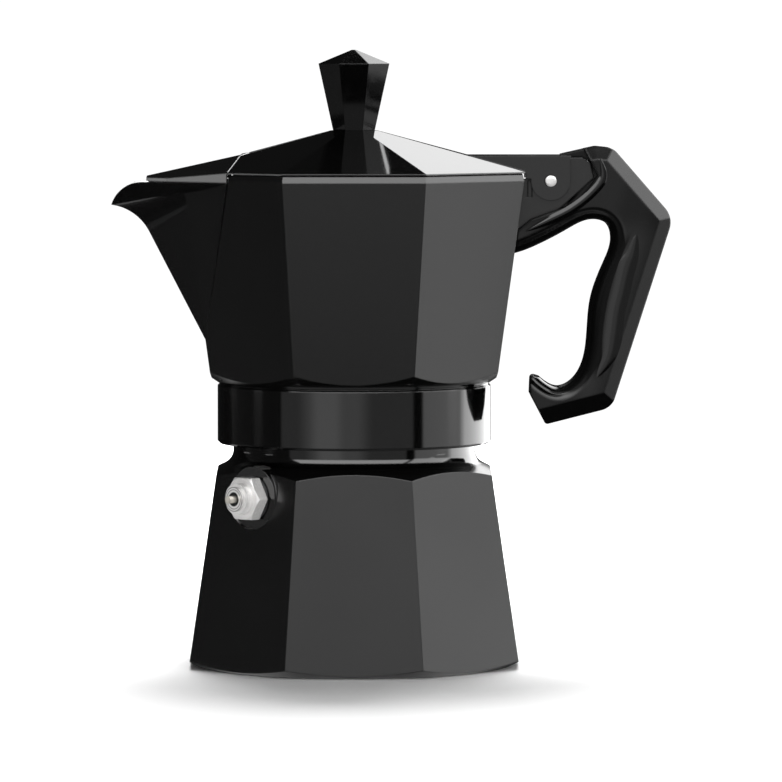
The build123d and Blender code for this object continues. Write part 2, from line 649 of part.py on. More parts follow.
# ---------------------------------------------------------------- lid, knob and hinge pin
def nose_corners(inset=(0, 0, 0)):
    """The corners of one half of the spout cover's roof."""
    dx, dy, dz = inset
    end_reach, end_side, end_rise = NOSE_END
    ridge_rise = LID_EDGE_Z - NOSE_RIDGE * LID_PITCH - RIM_Z
    fall = (ridge_rise - NOSE_END_TOP) / (end_reach - NOSE_RIDGE)

    def place(reach, side, rise):
        return (dx - RIM_APOTHEM - reach, dy - side, RIM_Z + rise - dz)

    ridge = place(NOSE_RIDGE, dy, ridge_rise)
    middle = place(NOSE_BREAK, dy, ridge_rise - (NOSE_BREAK - NOSE_RIDGE) * fall)
    end = place(end_reach, dy, NOSE_END_TOP)
    rim = (SPOUT_ROOT_X + dx, SPOUT_ROOT_Y + dy, LID_EDGE_Z - dz)
    return ridge, middle, end, rim, place(*NOSE_CORNER), place(end_reach, end_side, end_rise)


def nose_roof(inset=(0, 0, 0)):
    """The facets of one half of the roof: two long ones and two at the end."""
    ridge, middle, end, rim, corner, tip = nose_corners(inset)
    return [[ridge, rim, middle], [rim, corner, middle], [middle, corner, tip], [middle, tip, end]]


def nose_form(inset=(0, 0, 0)):
    """The whole spout cover: its roof, a skirt round it and a flat underside."""
    ridge, _, end, rim, corner, tip = nose_corners(inset)
    skirt_z = SPOUT_EDGE_Z + NOSE_SKIRT_GAP - 2 * inset[2]

    def foot(point, side=1):
        return (point[0], side * point[1], skirt_z)

    def far(point):
        return (point[0], -point[1], point[2])

    skirt = [[rim, corner, foot(corner), foot(rim)], [corner, tip, foot(tip), foot(corner)]]
    return polyhedron(
        nose_roof(inset) + skirt,
        [
            [tip, end, far(tip), foot(tip, -1), foot(tip)],
            [ridge, rim, far(rim)],
            [rim, far(rim), foot(rim, -1), foot(rim)],
            [foot(rim), foot(corner), foot(tip), foot(tip, -1), foot(corner, -1), foot(rim, -1)],
        ],
    )


def lid():
    """The faceted lid with its spout cover, hinge tab and two ears."""
    body = frustum(RIM_APOTHEM, LID_Z, RIM_APOTHEM, LID_EDGE_Z)
    body += frustum(RIM_APOTHEM, LID_EDGE_Z, LID_BOSS_APOTHEM, LID_TOP_Z)
    stop_x = RIM_APOTHEM + WALL_GAP
    step_z = HINGE_Z + EAR_STEP
    front_x = HINGE_X + EAR_R
    back_x = HINGE_X - EAR_R
    ear_line = Polyline(
        (back_x, HINGE_Z),
        (back_x, step_z),
        (stop_x, step_z),
        (stop_x, LID_Z),
        (RIM_APOTHEM - TAB_IN, LID_Z),
        (RIM_APOTHEM - TAB_IN, TAB_TOP_Z),
        (front_x, TAB_TOP_Z),
        (front_x, HINGE_Z),
    )
    body += slab(ear_line + CenterArc((HINGE_X, HINGE_Z), EAR_R, 0, -180), EAR_OUT)
    notch = [
        (NOTCH_X, 0),
        (NOTCH_X, TAB_TOP_Z - NOTCH_CHAMFER),
        (NOTCH_X - NOTCH_CHAMFER, TAB_TOP_Z),
        (NOTCH_X - NOTCH_CHAMFER, 2 * TAB_TOP_Z),
        (2 * HINGE_X, 2 * TAB_TOP_Z),
        (2 * HINGE_X, 0),
    ]
    body -= slab_of(notch, EAR_IN)
    under = RIM_APOTHEM - LID_REST_WIDTH
    under_z = LID_EDGE_Z + (RIM_APOTHEM - under) * LID_PITCH - LID_T
    body -= frustum(under, LID_Z, under, max(LID_Z, under_z) + PRESS_FIT)
    body -= frustum(under, max(LID_Z, under_z), LID_BOSS_APOTHEM, LID_TOP_Z - LID_T)
    for facet in nose_roof():
        for side in (1, -1):
            face = make_face(Polyline(*[(x, side * y, z) for x, y, z in facet], close=True))
            body -= extrude(face, LID_TOP_Z - LID_Z, dir=(0, 0, 1))
    body += nose_form()
    body -= nose_form(NOSE_INSET)
    body -= tube(KNOB_SCREW_R + SLIDE_FIT, 0, LID_Z, LID_TOP_Z)
    return body - cross_bar(EAR_FIT_R, HANDLE_HALF)


def hinge_pin():
    return cross_bar(PIN_R, EAR_OUT + PIN_PROUD)


def knob():
    """The faceted knob with a low pyramid on top and a blind hole for its screw."""
    low = LID_TOP_Z + KNOB_SEAT_GAP
    body = frustum(KNOB_BASE_APOTHEM, low, KNOB_TOP_APOTHEM, KNOB_SHOULDER_Z)
    body += frustum(KNOB_TOP_APOTHEM, KNOB_SHOULDER_Z, KNOB_TIP_APOTHEM, KNOB_SHOULDER_Z + KNOB_TIP_H)
    return body - tube(KNOB_SCREW_R + PRESS_FIT, 0, low, low + KNOB_SCREW_DEPTH)


def knob_washer():
    high = LID_TOP_Z - LID_T
    return tube(KNOB_WASHER_R, KNOB_SCREW_R + PRESS_FIT, high - KNOB_WASHER_T, high)


def knob_screw():
    seat = LID_TOP_Z - LID_T - KNOB_WASHER_T
    head = turned(
        (0, seat - KNOB_SCREW_HEAD_T),
        (KNOB_SCREW_HEAD_R / 2, seat - KNOB_SCREW_HEAD_T),
        (KNOB_SCREW_HEAD_R, seat - KNOB_SCREW_HEAD_T / 2),
        (KNOB_SCREW_HEAD_R, seat),
        (0, seat),
    )
    return head + tube(KNOB_SCREW_R, 0, seat, LID_TOP_Z + KNOB_SCREW_DEPTH - KNOB_SEAT_GAP)


# ---------------------------------------------------------------- handle
def edge_bevels(corners, bevel):
    """Cutters that bevel both side edges of the handle along a convex line of corners."""
    side, back = bevel
    cutter = Box(CUTTER, CUTTER, CUTTER, align=(Align.CENTER, Align.CENTER, Align.MIN))
    cutters = []
    for (x0, z0), (x1, z1) in zip(corners, corners[1:]):
        along = Vector(x1 - x0, 0, z1 - z0).normalized()
        outward = Vector(-along.Z, 0, along.X)
        for hand in (1, -1):
            middle = Vector((x0 + x1) / 2, hand * (HANDLE_HALF - side), (z0 + z1) / 2)
            facing = outward * side + Vector(0, hand * back, 0)
            cutters.append(Plane(origin=middle, x_dir=along, z_dir=facing) * cutter)
    return cutters


def side_edges(solid, line):
    """The solid's edges on its two side faces that follow a line of the XZ plane."""
    middle = line @ 0.5
    found = []
    for edge in solid.edges():
        spot = edge @ 0.5
        if abs(spot.X - middle.X) + abs(spot.Z - middle.Y) < NEAR and abs(spot.Y) > HANDLE_HALF / 2:
            found.append(edge)
    return found


def handle():
    """The moulded grip: a full-width grip, a narrow core between the ears and a mortise."""
    arm_top_z = HINGE_Z - ARM_TOP_DROP
    foot = (collector_apothem(ARM_FOOT_Z) + WALL_GAP, ARM_FOOT_Z)
    arm_top = (collector_apothem(arm_top_z) + WALL_GAP, arm_top_z)
    crown_start, *crown = from_pin(*CROWN)
    elbow, heel, hook_foot, hook_nose, hook_tip, hook_top = from_pin(
        ELBOW, HEEL, HOOK_FOOT, HOOK_NOSE, HOOK_TIP, HOOK_TOP
    )
    scoop = from_pin(*SCOOP)
    finger_line = Spline(hook_top, *from_pin(*HOOK_HOLLOW, *GRIP, *FINGER_TOP), foot)
    back_line = FilletPolyline(
        *crown, elbow, heel, hook_foot, hook_nose, hook_tip, hook_top,
        radius=[CROWN_R, CROWN_R, ELBOW_R, HEEL_R, HOOK_R, HOOK_R, HOOK_R],
    )
    scoop_line = Polyline(foot, arm_top, *scoop, crown[0])
    body = slab(finger_line + back_line + scoop_line, HANDLE_HALF)
    body = fillet(side_edges(body, finger_line), FINGER_ROUND)
    body -= edge_bevels((*crown, elbow, heel), BACK_BEVEL)
    body -= edge_bevels((heel, hook_foot), SOLE_BEVEL)
    core = [*scoop, crown[0], crown_start, (crown_start[0], HINGE_Z), (HINGE_X, scoop[1][1])]
    body += slab_of(core, TONGUE_HALF)
    body -= slab_of(tongue_outline(HANDLE_FIT), TONGUE_HALF + HANDLE_FIT)
    body -= slab_of(tenon_outline(HANDLE_FIT), TENON_HALF + HANDLE_FIT)
    body -= Pos(SCREW_X, 0, 0) * tube(SCREW_R + SLIDE_FIT, 0, SCREW_SEAT_Z, SCREW_SEAT_Z + SCREW_L)
    return body - Pos(SCREW_X, 0, 0) * tube(SCREW_HEAD_R + SLIDE_FIT, 0, ARM_FOOT_Z, SCREW_SEAT_Z)


def handle_screw():
    """The slotted screw, up through the arm into the tongue."""
    head_z = SCREW_SEAT_Z - SCREW_HEAD_T
    body = tube(SCREW_HEAD_R, 0, head_z, SCREW_SEAT_Z)
    body += tube(SCREW_R, 0, SCREW_SEAT_Z, SCREW_SEAT_Z + SCREW_L)
    slot = Box(2 * SCREW_HEAD_R, SCREW_SLOT, SCREW_SLOT, align=(Align.CENTER, Align.CENTER, Align.MIN))
    return Pos(SCREW_X, 0, 0) * (body - Pos(0, 0, head_z) * slot)


# ---------------------------------------------------------------- the parts
PARTS = {
    "boiler": boiler,
    "valve_body": valve_body,
    "valve_washer": valve_washer,
    "valve_seal": valve_seal,
    "valve_stem": valve_stem,
    "valve_cap": valve_cap,
    "valve_spring": valve_spring,
    "funnel_basket": funnel_basket,
    "funnel_tube": funnel_tube,
    "funnel_sieve": funnel_sieve,
    "filter_plate": filter_plate,
    "gasket": gasket,
    "collector": collector,
    "column": column,
    "lid": lid,
    "hinge_pin": hinge_pin,
    "knob": knob,
    "knob_washer": knob_washer,
    "knob_screw": knob_screw,
    "handle": handle,
    "handle_screw": handle_screw,
}

os.makedirs("parts", exist_ok=True)
for name, make in PARTS.items():
    export_step(make(), f"parts/{name}.step")
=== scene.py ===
"""Dresses an octagonal stovetop coffee maker: paint, metals, mouldings, threads and studio."""

import logging
from abc import ABC, abstractmethod
from dataclasses import dataclass, replace
from enum import Enum
from math import cos, pi, radians, sin, sqrt, tan
from typing import Any, Iterable, Mapping, Optional, Sequence, Union

import bmesh
import bpy
from mathutils import Matrix, Vector


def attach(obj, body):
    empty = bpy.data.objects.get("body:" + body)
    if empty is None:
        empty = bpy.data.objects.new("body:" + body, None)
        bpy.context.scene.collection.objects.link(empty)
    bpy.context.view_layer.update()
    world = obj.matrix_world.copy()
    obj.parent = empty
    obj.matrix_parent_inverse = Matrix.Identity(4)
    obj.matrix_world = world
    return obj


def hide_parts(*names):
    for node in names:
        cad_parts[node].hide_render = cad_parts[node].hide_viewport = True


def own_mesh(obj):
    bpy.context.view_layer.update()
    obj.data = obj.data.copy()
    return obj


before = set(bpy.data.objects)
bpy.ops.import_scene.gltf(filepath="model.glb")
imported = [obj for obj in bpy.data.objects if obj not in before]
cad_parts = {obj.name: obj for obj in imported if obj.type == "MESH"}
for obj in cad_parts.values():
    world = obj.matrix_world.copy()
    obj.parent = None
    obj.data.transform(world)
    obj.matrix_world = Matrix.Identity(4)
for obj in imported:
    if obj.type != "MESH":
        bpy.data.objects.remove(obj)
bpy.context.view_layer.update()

LOG = logging.getLogger("coffee_maker")
MM = 0.001

FACES_LEVEL = (0.9, 0.97)       # how upright a facing is where a surface starts to count as level
FACES_INWARD = (-0.12, -0.04)   # how far outward it points where it stops counting as the inside
ARRIS_ANGLE = 35.0              # degrees at which two faces meet in a sharp edge

Material = bpy.types.Material
Object = bpy.types.Object
Pair = tuple[float, float]
Face = tuple[int, ...]
Point = tuple[float, float, float]
Colour = tuple[float, float, float, float]
Operand = Union[float, Point, Colour, "Field"]


def grey(level: float) -> Colour:
    """A neutral colour of that linear brightness."""
    return (level, level, level, 1.0)


def dimmed(colour: Colour, share: float) -> Colour:
    """A colour at a share of its brightness."""
    return (colour[0] * share, colour[1] * share, colour[2] * share, 1.0)


def metres(point: Sequence[float]) -> Point:
    """A point given in millimetres, in metres."""
    return tuple(MM * part for part in point)


# -------- shader arithmetic
class Field:
    """A value that varies over a surface or round the sky, with Python's arithmetic on it."""

    def __init__(self, shader: "Shader", socket: bpy.types.NodeSocket) -> None:
        """Keeps the socket that carries the value, and the tree that it is in."""
        self.shader = shader
        self.socket = socket

    def _math(self, operation: str, *values: Operand, clamp: bool = False) -> "Field":
        """Adds one Math node of that operation, which may hold its result between 0 and 1."""
        settings = {"operation": operation, "use_clamp": clamp}
        return self.shader.add("Math", settings, dict(enumerate(values)))

    def __add__(self, other: Operand) -> "Field":
        """self + other."""
        return self._math("ADD", self, other)

    def __radd__(self, other: Operand) -> "Field":
        """other + self."""
        return self._math("ADD", other, self)

    def __sub__(self, other: Operand) -> "Field":
        """self - other."""
        return self._math("SUBTRACT", self, other)

    def __rsub__(self, other: Operand) -> "Field":
        """other - self."""
        return self._math("SUBTRACT", other, self)

    def __mul__(self, other: Operand) -> "Field":
        """self * other."""
        return self._math("MULTIPLY", self, other)

    def __rmul__(self, other: Operand) -> "Field":
        """other * self."""
        return self._math("MULTIPLY", other, self)

    def __truediv__(self, other: Operand) -> "Field":
        """self / other."""
        return self._math("DIVIDE", self, other)

    def __rtruediv__(self, other: Operand) -> "Field":
        """other / self."""
        return self._math("DIVIDE", other, self)

    def __pow__(self, other: Operand) -> "Field":
        """self ** other."""
        return self._math("POWER", self, other)

    def __neg__(self) -> "Field":
        """-self."""
        return self._math("MULTIPLY", self, -1.0)

    def __abs__(self) -> "Field":
        """The size of self."""
        return self._math("ABSOLUTE", self)

    def bearing(self, ahead: "Field") -> "Field":
        """The angle of (ahead, self) in turns, from -0.5 to 0.5."""
        return self._math("ARCTAN2", self, ahead) / (2 * pi)

    def clamped(self) -> "Field":
        """self held between 0 and 1."""
        return self._math("ADD", self, 0.0, clamp=True)

    def rising(self, low: float, high: float) -> "Field":
        """A mask that climbs smoothly from 0 at low to 1 at high."""
        settings = {"interpolation_type": "SMOOTHSTEP"}
        return self.shader.add("MapRange", settings, {"Value": self, "From Min": low, "From Max": high})

    def lesser(self, other: Operand) -> "Field":
        """The lesser of self and other."""
        return self._math("MINIMUM", self, other)

    def falling(self, low: float, high: float) -> "Field":
        """A mask that drops smoothly from 1 at low to 0 at high."""
        return 1.0 - self.rising(low, high)

    def past(self, span: Pair) -> "Field":
        """A mask of a distance that climbs over a span given in millimetres."""
        return self.rising(span[0] * MM, span[1] * MM)

    def short_of(self, span: Pair) -> "Field":
        """A mask of a distance that drops over a span given in millimetres."""
        return self.falling(span[0] * MM, span[1] * MM)

    def also(self, output: Union[int, str]) -> "Field":
        """Another output of the node that made this one."""
        return Field(self.shader, self.socket.node.outputs[output])

    def parts(self) -> tuple["Field", "Field", "Field"]:
        """The three components of a vector."""
        x = self.shader.add("SeparateXYZ", values={"Vector": self})
        return x, x.also("Y"), x.also("Z")

    def vector(self, operation: str, other: Operand = (0.0, 0.0, 0.0), output: str = "Vector") -> "Field":
        """Adds one Vector Math node. output is "Value" for a length or a dot product."""
        return self.shader.add("VectorMath", {"operation": operation}, {0: self, 1: other}, output)


class Shader:
    """A node tree that is written as expressions."""

    def __init__(self, tree: bpy.types.NodeTree) -> None:
        """Empties a node tree to write in."""
        self.tree = tree
        tree.nodes.clear()

    def add(
        self,
        kind: str,
        settings: Optional[Mapping[str, Any]] = None,
        values: Optional[Mapping[Union[int, str], Operand]] = None,
        output: Union[int, str] = 0,
    ) -> Field:
        """Adds any node.

        Args:
            kind: the node's type, without the word ShaderNode.
            settings: its properties, which are set first.
            values: a value or a link for each socket, by name or place.
            output: the output that is wanted.

        Returns:
            That output.
        """
        node = self.tree.nodes.new("ShaderNode" + kind)
        for key, value in (settings or {}).items():
            setattr(node, key, value)
        for key, value in (values or {}).items():
            socket = node.inputs[key]
            if isinstance(value, Field):
                self.tree.links.new(value.socket, socket)
            else:
                socket.default_value = value
        return Field(self, node.outputs[output]) if len(node.outputs) else Field(self, node.inputs[0])

    def mix(self, mask: Operand, first: Operand, second: Operand) -> Field:
        """A colour that goes from first to second as mask goes from 0 to 1."""
        return self.add("Mix", {"data_type": "RGBA"}, {0: mask, 6: first, 7: second}, 2)


class Place:
    """Where a point of a surface is, in metres in the pot's own frame, and which way it faces."""

    def __init__(self, shader: Shader) -> None:
        """Reads the place and the facing of each point of the surface.

        Args:
            shader: the surface's own shader.
        """
        self.shader = shader
        self.point = shader.add("TexCoord", output="Object")
        self.x, self.y, self.z = self.point.parts()
        self.out_x, self.out_y, self.out_z = self.point.also("Normal").parts()

    def noise(
        self, scale: float, detail: float = 2.0, harshness: float = 0.5, where: Optional[Field] = None
    ) -> Field:
        """Cloudy noise between 0 and 1. harshness is how strong its finer octaves are."""
        values = {"Vector": where or self.point, "Scale": scale, "Detail": detail, "Roughness": harshness}
        return self.shader.add("TexNoise", {}, values)

    def radius(self) -> Field:
        """Distance from the pot's axis."""
        return (self.x * self.x + self.y * self.y) ** 0.5

    def outward(self) -> Field:
        """How far the surface faces away from the pot's axis, from -1 to 1."""
        along = self.x * self.out_x + self.y * self.out_y
        return along / (self.radius() + 1e-6)


# -------- finishes
class Slot(Enum):
    """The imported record's material slots that added pieces use."""

    PAINT = "black_paint"
    TURNED = "turned_metal"
    NICKEL = "nickel"
    STEEL = "steel"
    MOULDING = "moulding"


@dataclass(frozen=True)
class Layer:
    """What one finish gives to the shader at each point. relief is a height in metres."""

    colour: Operand
    roughness: Operand
    metallic: Operand
    relief: Operand

    def over(self, below: "Layer", mask: Field) -> "Layer":
        """Lays this layer over another one.

        Args:
            below: the layer that shows where mask is 0.
            mask: 1 where this layer shows.

        Returns:
            The two as one layer.
        """
        parts: dict[str, Operand] = {}
        for part in ("roughness", "metallic", "relief"):
            upper, lower = getattr(self, part), getattr(below, part)
            parts[part] = upper if upper == lower else mask * upper + (1.0 - mask) * lower
        return Layer(mask.shader.mix(mask, below.colour, self.colour), **parts)


@dataclass(frozen=True)
class Finish(ABC):
    """A finish that can be laid on a surface."""

    @abstractmethod
    def layer(self, place: Place) -> Layer:
        """The finish's values over the surface of a place."""


@dataclass(frozen=True)
class StovePaint(Finish):
    """Black stoving paint: sprayed, with a fine grain and a faint orange peel."""

    level: float = 0.0017
    roughness: float = 0.22
    grain: float = 5.0e-7
    peel: float = 7.0e-7
    grain_scale: float = 4200.0
    peel_scale: float = 620.0
    cloud_scale: float = 34.0

    def layer(self, place: Place) -> Layer:
        """Speckled black with grain and peel.

        Args:
            place: the surface that it is laid on.

        Returns:
            The layer.
        """
        shader = place.shader
        fine = place.noise(self.grain_scale, 2.0, 0.6)
        cells = place.noise(self.peel_scale, 2.0, 0.45)
        cloud = place.noise(self.cloud_scale, 3.0)
        speck = fine.rising(0.60, 0.78)
        colour = shader.mix(speck * 0.5, grey(self.level), grey(self.level * 2.2))
        colour = shader.mix(cloud.rising(0.35, 0.75) * 0.35, colour, grey(self.level * 1.5))
        rough = self.roughness + (cloud - 0.5) * 0.06 + (fine - 0.5) * 0.05
        return Layer(colour, rough, 0.0, fine * self.grain + cells * self.peel)


@dataclass(frozen=True)
class Moulded(Finish):
    """Glossy black phenolic moulding with a faint waviness and a parting line."""

    level: float = 0.0012
    roughness: float = 0.10
    wave: float = 6.0e-6
    wave_scale: float = 95.0
    haze_scale: float = 240.0
    lint_scale: float = 2600.0
    seam_half: float = 0.12 * MM
    seam_height: float = 3.0e-5

    def layer(self, place: Place) -> Layer:
        """Polished black, hazed a little where hands hold it.

        Args:
            place: the surface that it is laid on.

        Returns:
            The layer.
        """
        wave = place.noise(self.wave_scale, 1.0, 0.4)
        haze = place.noise(self.haze_scale, 4.0, 0.6)
        lint = place.noise(self.lint_scale).rising(0.66, 0.80)
        seam = abs(place.y).falling(self.seam_half * 0.4, self.seam_half)
        colour = place.shader.mix(lint * 0.4, grey(self.level), grey(self.level * 4.0))
        rough = self.roughness + haze.rising(0.45, 0.75) * 0.07 + seam * 0.15
        return Layer(colour, rough, 0.0, wave * self.wave + seam * self.seam_height)


@dataclass(frozen=True)
class CrownedMoulding(Moulded):
    """The moulding on a long grip, whose flanks are very slightly crowned.

    The crown runs along a straight line in the plane of the grip, and falls by crown times the square
    of the distance from that line, which counts up to bowed_to.
    """

    start: Point = (0.0, 0.0, 0.0)
    end: Point = (0.0, 0.0, -1.0)
    crown: float = 10.0
    bowed_to: float = 4.0e-4

    def layer(self, place: Place) -> Layer:
        """The plain moulding, with its flanks bowed across the line.

        Args:
            place: the surface that it is laid on.

        Returns:
            The layer.
        """
        plain = super().layer(place)
        along = (Vector(self.end) - Vector(self.start)).normalized()
        across = tuple(Vector((0.0, 1.0, 0.0)).cross(along))
        offset = place.point.vector("SUBTRACT", self.start).vector("DOT_PRODUCT", across, "Value")
        flank = abs(place.out_y).rising(0.8, 0.95)
        bow = (offset * offset).lesser(self.bowed_to) * flank * -self.crown
        return Layer(plain.colour, plain.roughness, 0.0, plain.relief + bow)


@dataclass(frozen=True)
class CastMetal(Finish):
    """Bare aluminium casting, dull, with a pebbled skin."""

    level: float = 0.55
    roughness: float = 0.42
    pebble: float = 1.4e-5
    pebble_scale: float = 900.0
    patch_scale: float = 70.0
    pit_scale: float = 2300.0

    def layer(self, place: Place) -> Layer:
        """Soft grey metal with pits and darker patches.

        Args:
            place: the surface that it is laid on.

        Returns:
            The layer.
        """
        shader = place.shader
        pebble = place.noise(self.pebble_scale, 3.0, 0.55)
        patch = place.noise(self.patch_scale, 4.0, 0.6)
        pit = place.noise(self.pit_scale, 1.0).rising(0.68, 0.76)
        colour = shader.mix(patch.rising(0.35, 0.7), grey(self.level * 0.82), grey(self.level))
        colour = shader.mix(pit * 0.6, colour, grey(self.level * 0.45))
        rough = self.roughness + (patch - 0.5) * 0.16
        return Layer(colour, rough, 1.0, pebble * self.pebble - pit * self.pebble)


@dataclass(frozen=True)
class TurnedMetal(Finish):
    """Metal turned or spun about an axis, with fine rings from the tool.

    It can also carry painted shade: a dark disc in the middle that stands in for the shade in a recess, and
    dark rings round it that stand in for the shade in grooves. Their radii are in millimetres.
    """

    colour: Colour = (0.62, 0.61, 0.60, 1.0)
    roughness: float = 0.24
    rings: float = 5200.0
    ring_height: float = 1.2e-6
    metallic: float = 1.0
    origin: Point = (0.0, 0.0, 0.0)
    direction: Point = (0.0, 0.0, 1.0)
    recess_shade_radius: float = 0.0
    groove_shade_radii: tuple[float, ...] = ()
    groove_shade_half: Pair = (0.06, 0.2)
    shadow: float = 0.015
    cloud_scale: float = 120.0

    def layer(self, place: Place) -> Layer:
        """Rings about the axis, with painted shade of a recess in the middle and of grooves round it if it
        has them.

        Args:
            place: the surface that it is laid on.

        Returns:
            The layer.
        """
        shader = place.shader
        offset = place.point.vector("SUBTRACT", self.origin)
        height = offset.vector("DOT_PRODUCT", self.direction, "Value")
        reach = offset.vector("CROSS_PRODUCT", self.direction).vector("LENGTH", output="Value")
        groove_place = shader.add("CombineXYZ", values={"X": reach, "Y": height})
        ring = place.noise(self.rings, 2.0, 0.7, groove_place)
        cloud = place.noise(self.cloud_scale, 3.0)
        colour = shader.mix(ring.rising(0.3, 0.7) * 0.5 + cloud * 0.3, self.colour, dimmed(self.colour, 0.72))
        # Painted shade: the middle disc and the rings round it are darkened towards the shadow colour,
        # standing in for the shade in a recess and in grooves.
        if self.recess_shade_radius:
            shade = reach.short_of((self.recess_shade_radius - 0.1, self.recess_shade_radius + 0.1))
            for shaded_groove in self.groove_shade_radii:
                shade = abs(reach - shaded_groove * MM).short_of(self.groove_shade_half) * 0.7 + shade
            colour = shader.mix(shade.clamped(), colour, grey(self.shadow))
        rough = self.roughness + (ring - 0.5) * 0.12 + (cloud - 0.5) * 0.08
        return Layer(colour, rough, self.metallic, ring * self.ring_height)


@dataclass(frozen=True)
class Elastic(Finish):
    """Moulded silicone or rubber: matt, with a fine skin and a little bloom."""

    colour: Colour = (0.74, 0.72, 0.68, 1.0)
    roughness: float = 0.56
    skin: float = 4.0e-6
    skin_scale: float = 1900.0
    bloom_scale: float = 160.0

    def layer(self, place: Place) -> Layer:
        """Matt and slightly cloudy.

        Args:
            place: the surface that it is laid on.

        Returns:
            The layer.
        """
        skin = place.noise(self.skin_scale)
        bloom = place.noise(self.bloom_scale, 4.0, 0.6)
        colour = place.shader.mix(bloom.rising(0.35, 0.7), self.colour, dimmed(self.colour, 0.86))
        return Layer(colour, self.roughness + (bloom - 0.5) * 0.1, 0.0, skin * self.skin)


@dataclass(frozen=True)
class Paper(Finish):
    """White studio paper with a barely visible tooth."""

    level: float = 0.9
    roughness: float = 0.9
    tooth: float = 2.0e-6
    tooth_scale: float = 1400.0

    def layer(self, place: Place) -> Layer:
        """Nearly even white.

        Args:
            place: the surface that it is laid on.

        Returns:
            The layer.
        """
        tooth = place.noise(self.tooth_scale)
        colour = place.shader.mix(tooth.rising(0.3, 0.7), grey(self.level), grey(self.level * 0.985))
        return Layer(colour, self.roughness, 0.0, tooth * self.tooth)


class Surface:
    """A material in the making: its shader, the place on it and the rounding of its arrises."""

    # Roughness and specular level of the low-shine copy that paints shade.
    shaded_roughness: float = 0.6
    shaded_gloss: float = 0.04
    bevel_rays: int = 4

    def __init__(self, name: str, edge: float = 0.0) -> None:
        """Starts a material.

        Args:
            name: the material's name.
            edge: radius of the rounding that softens its arrises, in metres.
        """
        self.material = bpy.data.materials.new(name)
        self.material.use_nodes = True
        self.shader = Shader(self.material.node_tree)
        self.place = Place(self.shader)
        self.edge = edge

    def finish(
        self,
        layer: Layer,
        emission: Operand = grey(0.0),
        shade: Optional[Field] = None,
        **constants: float,
    ) -> Material:
        """Sends the layer to the shader.

        Args:
            layer: what varies over the surface.
            emission: the colour that it glows with.
            shade: where a copy of the surface with little shine is mixed in, as painted shade in hollows and
                on flats that should look darker.
            constants: other sockets of the shader, with _ for a space.

        Returns:
            The material.
        """
        shader = self.shader
        relief = {"Strength": 1.0, "Distance": 1.0, "Height": layer.relief}
        if self.edge:
            relief["Normal"] = shader.add("Bevel", {"samples": self.bevel_rays}, {"Radius": self.edge})
        normal = shader.add("Bump", {}, relief)
        values = {
            "Base Color": layer.colour,
            "Roughness": layer.roughness,
            "Metallic": layer.metallic,
            "Emission Color": emission,
            "Normal": normal,
        }
        values |= {key.replace("_", " "): value for key, value in constants.items()}
        body = shader.add("BsdfPrincipled", {}, values)
        # Painted shade: a copy with little shine is mixed in where shade is given, so those places go dark.
        if shade is not None:
            values |= {"Roughness": self.shaded_roughness, "Specular IOR Level": self.shaded_gloss}
            shaded_copy = shader.add("BsdfPrincipled", {}, values)
            body = shader.add("MixShader", {}, {0: shade, 1: body, 2: shaded_copy})
        shader.add("OutputMaterial", {}, {"Surface": body})
        return self.material


def plain_surface(name: str, finish: Finish, edge: float = 0.0, **constants: float) -> Material:
    """A material with one finish all over. edge and constants are as in Surface."""
    surface = Surface(name, edge)
    return surface.finish(finish.layer(surface.place), **constants)


def dress(node: str, material: Material) -> None:
    """Gives a carried-over solid its material."""
    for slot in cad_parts[node].material_slots:
        slot.material = material


# -------- forms
class Side(Enum):
    """The pot's front and back, as the sign of Y."""

    FRONT = -1
    BACK = 1

    def named(self, stem: str) -> str:
        """A piece's name with this side at its end."""
        return f"{stem}_{self.name.lower()}"


def stand(name: str, data: bpy.types.ID) -> Object:
    """Adds an object to the scene.

    Args:
        name: its name.
        data: its mesh, light or camera.

    Returns:
        The object.
    """
    thing = bpy.data.objects.new(name, data)
    bpy.context.scene.collection.objects.link(thing)
    return thing


def ringed_faces(rings: int, around: int) -> list[Face]:
    """The faces of a closed form whose corners stand in rings, one ring after another.

    Args:
        rings: how many rings there are.
        around: how many corners each has.

    Returns:
        Both ends and the faces between the rings.
    """
    last = (rings - 1) * around
    faces: list[Face] = [tuple(reversed(range(around))), tuple(range(last, last + around))]
    for ring in range(rings - 1):
        for step in range(around):
            here, there = ring * around + step, ring * around + (step + 1) % around
            faces.append((here, there, there + around, here + around))
    return faces


def circle(count: int, radius: float = 1.0) -> list[Pair]:
    """Evenly spaced points of a circle."""
    turns = [2 * pi * step / count for step in range(count)]
    return [(radius * cos(turn), radius * sin(turn)) for turn in turns]


@dataclass(frozen=True)
class Thread:
    """A helical ridge of trapezoid section that rises from nothing at both ends.

    It reaches its height after 1 / run_in of a turn.
    """

    root: float
    crest: float
    low: float
    high: float
    phase: float = 0.0
    lead: float = 3.0
    root_width: float = 1.5
    crest_width: float = 0.55
    steps: int = 72
    run_in: float = 6.0

    def piece(self, name: str, body: str, material: Material) -> Object:
        """Builds the ridge as a swept mesh.

        Args:
            name: the piece's name.
            body: the body it rides on.
            material: its finish.

        Returns:
            The piece.
        """
        turns = (self.high - self.low) / self.lead
        count = round(turns * self.steps)
        corners: list[Point] = []
        for index in range(count + 1):
            turn = turns * index / count
            fade = min(1.0, turn * self.run_in, (turns - turn) * self.run_in)
            angle = 2 * pi * (turn + self.phase)
            middle = self.low + self.lead * turn
            crest = self.root + (self.crest - self.root) * fade
            for reach, rise in (
                (self.root, -self.root_width / 2),
                (crest, -self.crest_width / 2),
                (crest, self.crest_width / 2),
                (self.root, self.root_width / 2),
            ):
                corners.append((reach * cos(angle), reach * sin(angle), middle + rise))
        return mesh_piece(name, corners, ringed_faces(count + 1, 4), body, material)


